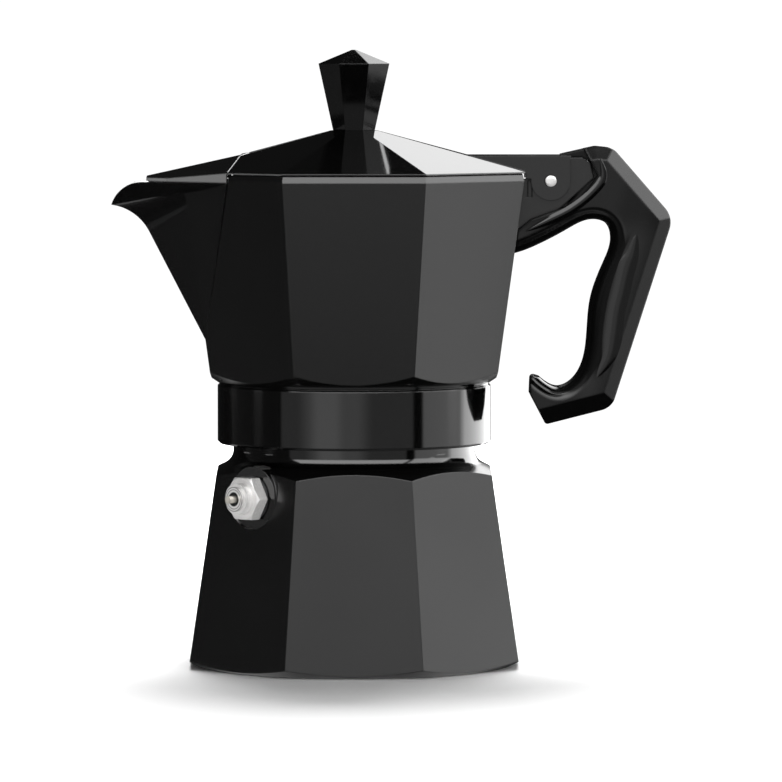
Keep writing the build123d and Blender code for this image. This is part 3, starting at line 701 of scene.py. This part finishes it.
@dataclass(frozen=True)
class Coil:
    """A compression spring of round wire, whose end turns lie nearly flat.

    Distances run outward along the axis from the valve's seat, in millimetres.
    """

    low: float
    high: float
    radius: float
    wire: float
    turns: int = 5
    closed: float = 0.75
    closed_climb: float = 0.25
    steps: int = 40
    sides: int = 10

    def climb(self, turn: float) -> float:
        """How far along the spring the wire has climbed.

        Args:
            turn: how many turns it has made.

        Returns:
            The share, from 0 to 1.
        """
        done = whole = 0.0
        for index in range(self.turns * self.steps):
            spot = (index + 0.5) / self.steps
            inner = self.closed <= spot <= self.turns - self.closed
            climb = 1.0 if inner else self.closed_climb
            whole += climb
            done += climb if spot < turn else 0.0
        return done / whole

    def piece(self, name: str, seat: Point, axis: Vector, material: Material) -> Object:
        """Winds the spring.

        Args:
            name: the piece's name.
            seat: where the axis leaves the seat.
            axis: the way out along it.
            material: the wire's finish.

        Returns:
            The piece.
        """
        level = axis.cross(Vector((0.0, 0.0, 1.0))).normalized()
        upright = level.cross(axis)
        count = self.turns * self.steps
        spine: list[Vector] = []
        for index in range(count + 1):
            angle = 2 * pi * index / self.steps
            reach = self.low + (self.high - self.low) * self.climb(index / self.steps)
            round_axis = (level * cos(angle) + upright * sin(angle)) * self.radius
            spine.append(Vector(seat) + axis * reach + round_axis)
        corners: list[Point] = []
        for index, spot in enumerate(spine):
            ahead = (spine[min(index + 1, count)] - spine[max(index - 1, 0)]).normalized()
            inward = (axis - ahead * axis.dot(ahead)).normalized()
            sideways = ahead.cross(inward)
            corners += [tuple(spot + inward * a + sideways * b) for a, b in circle(self.sides, self.wire)]
        faces = ringed_faces(len(spine), self.sides)
        return mesh_piece(name, corners, faces, "boiler", material)


@dataclass(frozen=True)
class Bead:
    """A low rounded ridge on the flanks of the grip, along a smooth curve through a few places.

    Places are (reach, rise) from the hinge pin, in millimetres. The ridge has its full section after
    1 / taper of its length, and its foot is sunk into the flank.
    """

    places: tuple[Pair, ...]
    half_width: float
    height: float
    sunk: float = 0.04
    taper: float = 4.0
    blunt: float = 0.02
    steps: int = 14
    strips: int = 8

    def line(self) -> list[Vector]:
        """The curve's points, evenly shared between the places.

        Returns:
            The points.
        """
        ends = [Vector(place) for place in self.places]
        ends = [2 * ends[0] - ends[1], *ends, 2 * ends[-1] - ends[-2]]
        points: list[Vector] = []
        for a, b, c, d in zip(ends, ends[1:], ends[2:], ends[3:]):
            for step in range(self.steps):
                t = step / self.steps
                bend = 2 * b + t * (c - a) + t * t * (2 * a - 5 * b + 4 * c - d)
                points.append((bend + t * t * t * (3 * b - 3 * c + d - a)) / 2)
        return [*points, ends[-2]]

    def piece(self, name: str, pin: Point, flank: float, material: Material) -> Object:
        """Builds the ridge on one flank.

        Args:
            name: the piece's name.
            pin: the hinge pin.
            flank: the flank's place on Y, in millimetres, with its sign.
            material: the moulding's finish.

        Returns:
            The piece.
        """
        line = self.line()
        outward = 1 if flank > 0 else -1
        corners: list[Point] = []
        for index, spot in enumerate(line):
            ahead = (line[min(index + 1, len(line) - 1)] - line[max(index - 1, 0)]).normalized()
            share = index / (len(line) - 1)
            fade = sqrt(max(self.blunt, min(1.0, share * self.taper, (1 - share) * self.taper)))
            for strip in range(self.strips + 1):
                lean = 2 * strip / self.strips - 1
                side = Vector((ahead.y, -ahead.x)) * (lean * self.half_width * fade)
                rise = self.height * fade * (1 - lean * lean) - self.sunk
                x, z = spot + side
                corners.append((pin[0] + x, flank + outward * rise, pin[2] + z))
        row = self.strips + 1
        last = len(corners) - row
        faces: list[Face] = [tuple(range(row)), tuple(range(last, last + row))]
        for index in range(len(line) - 1):
            start = index * row
            faces.append((start, start + row, start + row + self.strips, start + self.strips))
            for here in range(start, start + self.strips):
                faces.append((here, here + 1, here + row + 1, here + row))
        return mesh_piece(name, corners, faces, "collector", material)


def placed(mesh: bpy.types.Mesh, body: str, material: Material) -> Object:
    """Stands a finished mesh in the scene as a piece of its own.

    Args:
        mesh: the mesh, which also gives the piece its name.
        body: the body it rides on.
        material: its finish.

    Returns:
        The piece.
    """
    mesh.materials.append(material)
    piece = stand(mesh.name, mesh)
    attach(piece, body)
    return piece


def mesh_piece(
    name: str,
    corners: Iterable[Point],
    faces: Iterable[Sequence[int]],
    body: str,
    material: Material,
) -> Object:
    """Makes a piece from corners in millimetres, with its faces turned outward and shaded as curves.

    Args:
        name: the piece's name.
        corners: its corners.
        faces: which corners each face joins.
        body: the body it rides on.
        material: its finish.

    Returns:
        The piece.
    """
    mesh = bpy.data.meshes.new(name)
    mesh.from_pydata([metres(corner) for corner in corners], [], list(faces))
    mesh.validate()
    form = bmesh.new()
    form.from_mesh(mesh)
    bmesh.ops.recalc_face_normals(form, faces=form.faces)
    form.to_mesh(mesh)
    form.free()
    mesh.shade_smooth()
    mesh.set_sharp_from_angle(angle=radians(ARRIS_ANGLE))
    return placed(mesh, body, material)


# -------- sub-assemblies
class SubAssembly(ABC):
    """A group of solids that is dressed, and given its finer pieces, together."""

    @abstractmethod
    def build(self) -> list[Object]:
        """Dresses the solids and returns the pieces that are added to them."""


SATIN = StovePaint()
GLOSS = StovePaint(level=0.0012, roughness=0.08, grain=1.0e-7, peel=3.0e-7)
BARE = CastMetal()


@dataclass
class Boiler(SubAssembly):
    """The lower casting: painted outside, bare inside, with the neck's thread."""

    thread: Thread = Thread(root=31.2, crest=32.25, low=62.2, high=68.2)
    shoulder: Pair = (54.0, 55.0)
    neck: Pair = (60.2, 60.9)
    foot_ring: Pair = (41.5, 42.5)
    arris: float = 0.35

    def build(self) -> list[Object]:
        """Paints the casting and cuts its thread.

        Returns:
            The thread.
        """
        surface = Surface("boiler_paint", self.arris * MM)
        place = surface.place
        paint = SATIN.layer(place)
        turned = TurnedMetal(roughness=0.30).layer(place)
        shoulder = GLOSS.layer(place).over(paint, place.z.past(self.shoulder))
        inside = place.outward().falling(*FACES_INWARD)
        floor = abs(place.out_z).rising(*FACES_LEVEL) * place.radius().short_of(self.foot_ring)
        bare = (inside + place.z.past(self.neck) + floor).clamped()
        dress("boiler", surface.finish(turned.over(shoulder, bare)))
        metal = plain_surface("neck_thread_metal", TurnedMetal(roughness=0.28))
        return [self.thread.piece("neck_thread", "boiler", metal)]


@dataclass
class SafetyValve(SubAssembly):
    """The relief valve: nickelled body and cap, pale brass stem, steel spring, rubber seals."""

    seat: Point = (-26.87, -26.87, 46.5)
    arris: float = 0.15
    coil: Coil = Coil(low=-4.22, high=4.47, radius=2.0, wire=0.3)
    cap_foot: float = 4.8
    squashed: float = 0.836
    nut_turn: float = 30.0
    # Painted shade on the cap: radii in millimetres of the dark middle and of the two dark rings round it.
    recess_shade_radius: float = 1.9
    groove_shade_radii: tuple[float, ...] = (2.55, 3.15)

    def build(self) -> list[Object]:
        """Dresses the valve.

        Returns:
            The coil and the turned nut.
        """
        origin = metres(self.seat)
        axis = (-1 / sqrt(2), -1 / sqrt(2), 0.0)
        nickel = TurnedMetal((0.90, 0.89, 0.88, 1.0), 0.26, 4000.0, 9.0e-7, 0.3, origin, axis)
        pale_brass = TurnedMetal((0.80, 0.76, 0.68, 1.0), 0.24, 5000.0, 9.0e-7, 0.5, origin, axis)
        edge = self.arris * MM
        skin = plain_surface("valve_nickel", nickel, edge)
        dress("valve_body", skin)
        turned = replace(nickel, recess_shade_radius=self.recess_shade_radius, groove_shade_radii=self.groove_shade_radii)
        dress("valve_cap", plain_surface("valve_cap_nickel", turned, edge))
        dress("valve_stem", plain_surface("stem_brass", pale_brass, edge))
        wire = plain_surface("spring_wire", TurnedMetal(roughness=0.2))
        dress("valve_spring", wire)
        seal = Elastic((0.03, 0.03, 0.032, 1.0), 0.5)
        dress("valve_washer", plain_surface("washer_rubber", seal))
        dress("valve_seal", plain_surface("seal_rubber", seal))
        out = Vector(axis)
        coil = self.coil.piece("relief_spring", self.seat, out, wire)
        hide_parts("valve_spring")
        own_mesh(coil)
        return [coil, self._nut(Vector(origin), out, skin)]

    def _nut(self, origin: Vector, axis: Vector, skin: Material) -> Object:
        """The valve's body as it is screwed home, with its hexagon turned onto a flat.

        Args:
            origin: a point of the valve's axis, in metres.
            axis: the direction of that axis.
            skin: its finish.

        Returns:
            The piece.
        """
        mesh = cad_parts["valve_body"].data.copy()
        mesh.name = "valve_nut"
        turn = Matrix.Rotation(radians(self.nut_turn), 4, axis)
        mesh.transform(Matrix.Translation(origin) @ turn @ Matrix.Translation(-origin))
        mesh.materials.clear()
        nut = placed(mesh, "boiler", skin)
        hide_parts("valve_body")
        return nut


@dataclass
class Funnel(SubAssembly):
    """The funnel: spun basket, drawn tube and pierced sieve."""

    def build(self) -> list[Object]:
        """Dresses the funnel.

        Returns:
            No pieces.
        """
        dress("funnel_basket", plain_surface("basket_metal", TurnedMetal(roughness=0.26), 0.2 * MM))
        dress("funnel_tube", plain_surface("tube_metal", TurnedMetal(roughness=0.32, rings=3000.0)))
        dress("funnel_sieve", plain_surface("sieve_metal", TurnedMetal(roughness=0.3, rings=2500.0)))
        return []


@dataclass
class FilterPack(SubAssembly):
    """The filter plate and the gasket round it."""

    def build(self) -> list[Object]:
        """Dresses the plate and the gasket.

        Returns:
            No pieces.
        """
        dress("filter_plate", plain_surface("plate_metal", TurnedMetal(roughness=0.22, rings=4200.0)))
        dress("gasket", plain_surface("gasket_silicone", Elastic(), 0.3 * MM))
        return []


@dataclass
class Collector(SubAssembly):
    """The upper casting: satin facets, glossy collar, bare inside, with the collar's thread."""

    collar: Pair = (75.9, 76.5)
    wall: Pair = (45.5, 46.0)
    under_rim: Pair = (129.0, 129.6)
    over_foot: Pair = (60.5, 61.5)
    floor_ring: Pair = (35.4, 35.9)
    thread: Thread = Thread(root=33.15, crest=32.0, low=61.2, high=68.7, phase=1 / 6)
    arris: float = 0.4

    def build(self) -> list[Object]:
        """Paints the casting, leaves its inside bare and cuts its thread.

        Returns:
            The thread.
        """
        surface = Surface("collector_paint", self.arris * MM)
        place = surface.place
        paint = GLOSS.layer(place).over(SATIN.layer(place), place.z.short_of(self.collar))
        inside = place.outward().falling(*FACES_INWARD) * place.x.short_of(self.wall)
        between = place.z.short_of(self.under_rim) * place.z.past(self.over_foot)
        floor = abs(place.out_z).rising(*FACES_LEVEL) * between * place.radius().short_of(self.floor_ring)
        bare = (inside + floor).clamped()
        dress("collector", surface.finish(BARE.layer(place).over(paint, bare)))
        dress("column", plain_surface("column_metal", BARE, 0.3 * MM))
        metal = plain_surface("collar_thread_metal", TurnedMetal(roughness=0.3))
        return [self.thread.piece("collar_thread", "collector", metal)]


@dataclass
class Lid(SubAssembly):
    """The lid, glossy above and bare below, and the pin it turns on."""

    arris: float = 0.35
    hinge: Point = (52.6, 9.0, 130.0)
    pin_r: float = 1.5
    head_rise: float = 0.3
    head_rings: int = 5
    head_sides: int = 40
    bare_ring: Pair = (42.6, 43.2)
    lug_stations: tuple[Pair, ...] = ((-55.2, 1.2), (-54.6, 2.4), (-53.2, 3.6), (-50.4, 4.4))
    lug_low: float = 128.7
    lug_top: float = 130.0
    lug_round: float = 0.45
    rim_apothem: float = 45.5
    rim_z: float = 132.65
    pitch: float = 15.3
    seam_foot: Pair = (-33.4, 30.4)
    seam_head: Pair = (-28.2, 0.0)
    seam_r: float = 0.15
    seam_steps: int = 16
    seam_sides: int = 10

    def build(self) -> list[Object]:
        """Paints the lid, hangs the lug under its nose and rounds the ends of its pin.

        Returns:
            The pin's heads, the lug and the seams.
        """
        surface = Surface("lid_paint", self.arris * MM)
        place = surface.place
        under = place.out_z.falling(-0.6, -0.4) * place.radius().short_of(self.bare_ring)
        paint = surface.finish(BARE.layer(place).over(GLOSS.layer(place), under))
        dress("lid", paint)
        axis = (0.0, 1.0, 0.0)
        steel = TurnedMetal((0.80, 0.79, 0.78, 1.0), 0.3, 4200.0, 8.0e-7, 0.4, metres(self.hinge), axis)
        metal = plain_surface("pin_steel", steel)
        dress("hinge_pin", metal)
        heads = [self._head(side, metal) for side in Side]
        return heads + [self._lug(paint)] + [self._seam(side, paint) for side in Side]

    def _seam(self, side: Side, paint: Material) -> Object:
        """The thin raised seam where the spout cover leaves one side of the roof.

        Args:
            side: which side.
            paint: its finish.

        Returns:
            The piece.
        """
        line: list[Vector] = []
        for step in range(self.seam_steps + 1):
            part = step / self.seam_steps
            x, y = (foot + (head - foot) * part for foot, head in zip(self.seam_foot, self.seam_head))
            reach = max(-x, (y - x) / sqrt(2))
            z = self.rim_z + (self.rim_apothem - reach) * tan(radians(self.pitch))
            line.append(Vector((x, side.value * y, z)))
        along = (line[-1] - line[0]).normalized()
        across = along.cross(Vector((0.0, 0.0, 1.0))).normalized()
        up = across.cross(along)
        section = circle(self.seam_sides, self.seam_r)
        corners = [tuple(spot + across * a + up * b) for spot in line for a, b in section]
        faces = ringed_faces(len(line), self.seam_sides)
        return mesh_piece(side.named("nose_seam"), corners, faces, "lid", paint)

    def _lug(self, paint: Material) -> Object:
        """The lug under the nose, which drops inside the spout and centres the lid.

        Args:
            paint: its finish.

        Returns:
            The piece.
        """
        corners: list[Point] = []
        for x, half in self.lug_stations:
            side = [(half, self.lug_top)]
            for turn in (0.0, pi / 6, pi / 3, pi / 2):
                inward, lift = (self.lug_round * (1 - part) for part in (cos(turn), sin(turn)))
                side.append((half - inward, self.lug_low + lift))
            corners += [(x, -y, z) for y, z in side] + [(x, y, z) for y, z in reversed(side)]
        stations = len(self.lug_stations)
        faces = ringed_faces(stations, len(corners) // stations)
        return mesh_piece("nose_lug", corners, faces, "lid", paint)

    def _head(self, side: Side, metal: Material) -> Object:
        """One domed end of the hinge pin.

        Args:
            side: which end.
            metal: its finish.

        Returns:
            The piece.
        """
        x, y, z = self.hinge
        corners: list[Point] = []
        for ring in range(self.head_rings):
            lean = pi / 2 * ring / self.head_rings
            end = side.value * (y + self.head_rise * sin(lean))
            corners += [(x + a, end, z + b) for a, b in circle(self.head_sides, self.pin_r * cos(lean))]
        corners.append((x, side.value * (y + self.head_rise), z))
        faces = ringed_faces(self.head_rings, self.head_sides)
        rim = faces.pop(1)
        faces += [(here, there, len(corners) - 1) for here, there in zip(rim, rim[1:] + rim[:1])]
        return mesh_piece(side.named("pin_head"), corners, faces, "collector", metal)


@dataclass
class Grips(SubAssembly):
    """The knob and the handle, moulded in black, with their screws."""

    knob_arris: float = 0.3
    handle_arris: float = 0.8
    grip_top: Point = (76.9, 0.0, 120.0)
    grip_foot: Point = (60.4, 0.0, 68.6)
    pin: Point = (52.6, 0.0, 130.0)
    flank: float = 9.0
    lip: Bead = Bead(
        ((13.3, 6.0), (14.0, 1.0), (11.0, -3.2), (5.7, -7.4), (-0.6, -10.6), (-6.7, -13.4)), 1.25, 0.5
    )
    ridge: Bead = Bead(
        (
            (22.9, -14.4), (21.8, -19.5), (20.3, -23.5), (18.9, -29.6),
            (17.6, -35.0), (16.8, -41.0), (15.6, -47.0), (12.5, -52.4),
        ),
        2.5,
        0.5,
    )
    gloss: float = 0.36
    knob_gloss: float = 0.33
    # Where painted shade falls on the handle, in millimetres: the cheeks, the hook's flats and the scoop
    # beside the finger hollow.
    cheek: Pair = (112.0, 122.0)
    hook_top: Pair = (74.0, 80.0)
    hook_tip: Pair = (55.0, 64.0)
    scoop_middle: float = 84.0
    scoop_reach: float = 66.4
    scoop_bend: float = 0.0078
    scoop_foot: Pair = (76.0, 81.0)
    scoop_head: Pair = (112.0, 117.0)
    scoop_back: Pair = (55.0, 57.0)

    def build(self) -> list[Object]:
        """Dresses the mouldings and their fastenings.

        Returns:
            The lips and ridges of the grip.
        """
        dress("handle", self._handle_moulding())
        arris = self.knob_arris * MM
        dress("knob", plain_surface("knob_moulding", Moulded(), arris, Specular_IOR_Level=self.knob_gloss))
        bare = plain_surface("bead_moulding", Moulded(), Specular_IOR_Level=self.gloss)
        beads = [
            bead.piece(side.named(stem), self.pin, side.value * self.flank, bare)
            for side in Side
            for stem, bead in (("grip_lip", self.lip), ("grip_ridge", self.ridge))
        ]
        steel = plain_surface("screw_steel", TurnedMetal(roughness=0.25, rings=3000.0), 0.2 * MM)
        for node in ("handle_screw", "knob_screw", "knob_washer"):
            dress(node, steel)
        return beads

    def _handle_moulding(self) -> Material:
        """The grip's moulding, with painted shade in the finger hollow, under the arm and in the scoop beside
        the hollow, and weaker painted shade on the flat cheeks and the hook's flats.

        Returns:
            The material.
        """
        surface = Surface("handle_moulding", self.handle_arris * MM)
        place = surface.place
        # Painted shade: surfaces facing left or down, and the scoop, take the low-shine copy almost fully;
        # the flat cheeks and hook flats take it about half.
        hollow = (-place.out_x).rising(0.10, 0.30) + (-place.out_z).rising(0.10, 0.30)
        hook = place.z.short_of(self.hook_top) * place.x.short_of(self.hook_tip)
        flat = abs(place.out_y).rising(0.93, 0.99) * (place.z.past(self.cheek) + hook).clamped()
        rise = place.z * (1 / MM) - self.scoop_middle
        edge = place.x * (1 / MM) - (self.scoop_reach + rise * rise * self.scoop_bend)
        scoop = edge.falling(-0.3, 0.3) * place.x.past(self.scoop_back)
        scoop = scoop * place.z.past(self.scoop_foot) * place.z.short_of(self.scoop_head)
        shade = (hollow.clamped() + scoop).clamped() * 0.93 + flat * 0.55
        layer = CrownedMoulding(start=metres(self.grip_top), end=metres(self.grip_foot)).layer(place)
        return surface.finish(layer, shade=shade.clamped(), Specular_IOR_Level=self.gloss)


# -------- studio
@dataclass(frozen=True)
class Panel:
    """A soft-edged panel of light far off, as bearings from the front (+ to the right) and heights.

    Angles are in degrees. blur is the width of its upright edges, and haze of its level ones.
    """

    left: float
    right: float
    low: float
    high: float
    level: float
    blur: float = 3.0
    haze: float = 4.0

    def light(self, bearing: Field, height: Field) -> Field:
        """Its brightness in a direction of that bearing and height, in degrees."""
        across = self._band(bearing, self.left, self.right, self.blur)
        return across * self._band(height, self.low, self.high, self.haze) * self.level

    @staticmethod
    def _band(angle: Field, low: float, high: float, soft: float) -> Field:
        """A mask that is 1 between two angles, with edges of that softness."""
        half = soft / 2
        return angle.rising(low - half, low + half) * angle.falling(high - half, high + half)


@dataclass
class Studio:
    """The floor, the backdrop, the panels of light round the pot and the camera."""

    camera_at: Point = (0.0, -1.63, 0.169)
    camera_aim: Point = (0.00994, 0.0, 0.0733)
    lens: float = 279.3
    floor_r: float = 0.9
    floor_sides: int = 96
    # Painted shadow: the weak glow rises over this span, in millimetres from the axis, so the floor inside it
    # stays darker.
    painted_shadow_glow: Pair = (50.0, 130.0)
    painted_shadow_glow_level: float = 0.22
    far_glow: Pair = (130.0, 400.0)
    floor_white: float = 1.2
    backdrop_r: float = 5.0
    backdrop_white: float = 1.05
    ambient: float = 0.012
    panels: tuple[Panel, ...] = (
        Panel(-64, 51, -17.6, 20, 0.44, blur=2.5, haze=2.5),
        Panel(-42, 9, -17.6, 20, 0.54, blur=16, haze=2.5),
        Panel(-34, -12, -17.6, 20, 0.45, blur=10, haze=2.5),
        Panel(-62, 56, 20, 62, 5.2, haze=6),
        Panel(60, 104, -22, 14, 1.50, haze=7),
        Panel(86, 97, -2.4, 0.6, 6.0, blur=2, haze=0.8),
        Panel(60, 104, 14, 62, 4.8, haze=6),
        Panel(104, 166, -20, 55, 4.6, blur=8),
        Panel(166, 176.2, 12, 46, 2.4, blur=1.2),
        Panel(-126, -62, -32, -16, 0.24),
        Panel(-126, -66, -16, 60, 0.05),
        Panel(-93, -84, -2.4, 0.2, 3.4, blur=2, haze=0.8),
        Panel(-130, -118, -2.4, -0.2, 1.7, blur=2, haze=0.8),
        Panel(-190, -178, 2, 9, 1.2, blur=4, haze=3),
        Panel(100, 190, -41, -25, 0.5, blur=20, haze=6),
        Panel(-190, -135, -41, -25, 0.5, blur=20, haze=6),
        Panel(174, 190, -50, -41, 0.36),
        Panel(-190, -174, -50, -41, 0.36),
        Panel(-190, 190, 66, 92, 0.8, haze=8),
    )
    lamp_size: float = 1.1
    lamps: tuple[tuple[str, Point, float], ...] = (
        ("key_light", (0.05, 0.95, 1.25), 46.0),
        ("fill_light", (-0.5, -1.4, 0.9), 4.0),
        ("side_light", (0.9, -1.2, 0.5), 7.0),
    )

    def build(self) -> None:
        """Sets up the whole studio."""
        self._camera()
        self._sky()
        self._floor()
        self._backdrop()
        for name, place, power in self.lamps:
            self._lamp(name, place, power)

    @staticmethod
    def _turn(thing: Object, aim: Point) -> None:
        """Turns a camera or a lamp to face a point."""
        thing.rotation_mode = "QUATERNION"
        thing.rotation_quaternion = (Vector(aim) - thing.location).to_track_quat("-Z", "Y")

    def _camera(self) -> None:
        """Stands the camera in front of the pot."""
        camera = stand("camera", bpy.data.cameras.new("camera"))
        camera.location = self.camera_at
        self._turn(camera, self.camera_aim)
        camera.data.lens = self.lens
        camera.data.clip_end = 4 * self.backdrop_r
        bpy.context.scene.camera = camera

    def _sky(self) -> None:
        """Hangs the panels of light, which the paint and the metal reflect."""
        world = bpy.data.worlds.new("studio")
        world.use_nodes = True
        bpy.context.scene.world = world
        world.cycles_visibility.diffuse = False
        shader = Shader(world.node_tree)
        x, y, z = shader.add("TexCoord", output="Generated").parts()
        bearing = x.bearing(-y) * 360.0
        height = z.bearing((x * x + y * y) ** 0.5) * 360.0
        level: Operand = self.ambient
        for panel in self.panels:
            level = panel.light(bearing, height) + level
        light = shader.add("Background", {}, {"Color": grey(1.0), "Strength": level})
        shader.add("OutputWorld", {}, {"Surface": light})

    def _floor(self) -> None:
        """Lays a round white floor that glows more away from the pot. A weak glow starting a little way out
        leaves a painted shadow round the foot, on top of the lamps' real shadow. A full glow further out
        makes the floor meet the backdrop.
        """
        ring = [(x, y, 0.0) for x, y in circle(self.floor_sides, self.floor_r)]
        mesh = bpy.data.meshes.new("floor")
        mesh.from_pydata(ring, [], [tuple(range(self.floor_sides))])
        floor = stand("floor", mesh)
        floor.location.z = -0.1 * MM
        floor.visible_glossy = False
        surface = Surface("floor_paper")
        radius = surface.place.radius()
        # Painted shadow: the floor next to the foot gets no glow, so it stays darker than the floor beyond.
        glow = radius.past(self.painted_shadow_glow) * self.painted_shadow_glow_level + radius.past(self.far_glow)
        paper = Paper().layer(surface.place)
        ramp = surface.shader.mix(glow, grey(0.0), grey(1.0))
        mesh.materials.append(surface.finish(paper, emission=ramp, Emission_Strength=self.floor_white))

    def _backdrop(self) -> None:
        """Closes the view with a white dome that only the camera sees."""
        bpy.ops.mesh.primitive_uv_sphere_add(radius=self.backdrop_r, segments=48, ring_count=24)
        dome = bpy.context.active_object
        dome.name = "backdrop"
        for ray in ("diffuse", "glossy", "transmission", "volume_scatter", "shadow"):
            setattr(dome, "visible_" + ray, False)
        material = bpy.data.materials.new("backdrop_white")
        material.use_nodes = True
        shader = Shader(material.node_tree)
        white = shader.add("Emission", {}, {"Color": grey(1.0), "Strength": self.backdrop_white})
        shader.add("OutputMaterial", {}, {"Surface": white})
        dome.data.materials.append(material)

    def _lamp(self, name: str, place: Point, power: float) -> None:
        """Hangs a soft lamp that faces the pot and isn't mirrored in it.

        Args:
            name: its name.
            place: where it hangs.
            power: in watts.
        """
        light = bpy.data.lights.new(name, "AREA")
        light.shape = "DISK"
        light.size = self.lamp_size
        light.energy = power
        lamp = stand(name, light)
        lamp.location = place
        self._turn(lamp, (0.0, 0.0, 0.0))
        lamp.visible_glossy = False
        lamp.visible_camera = False


def main() -> None:
    """Builds the studio and every sub-assembly, in order."""
    logging.basicConfig(level=logging.INFO)
    bpy.context.scene.view_settings.view_transform = "Standard"
    Studio().build()
    for assembly in (Boiler(), SafetyValve(), Funnel(), FilterPack(), Collector(), Lid(), Grips()):
        pieces = assembly.build()
        LOG.info("%s dressed, pieces added: %s", type(assembly).__name__, [piece.name for piece in pieces])


if __name__ == "__main__":
    main()
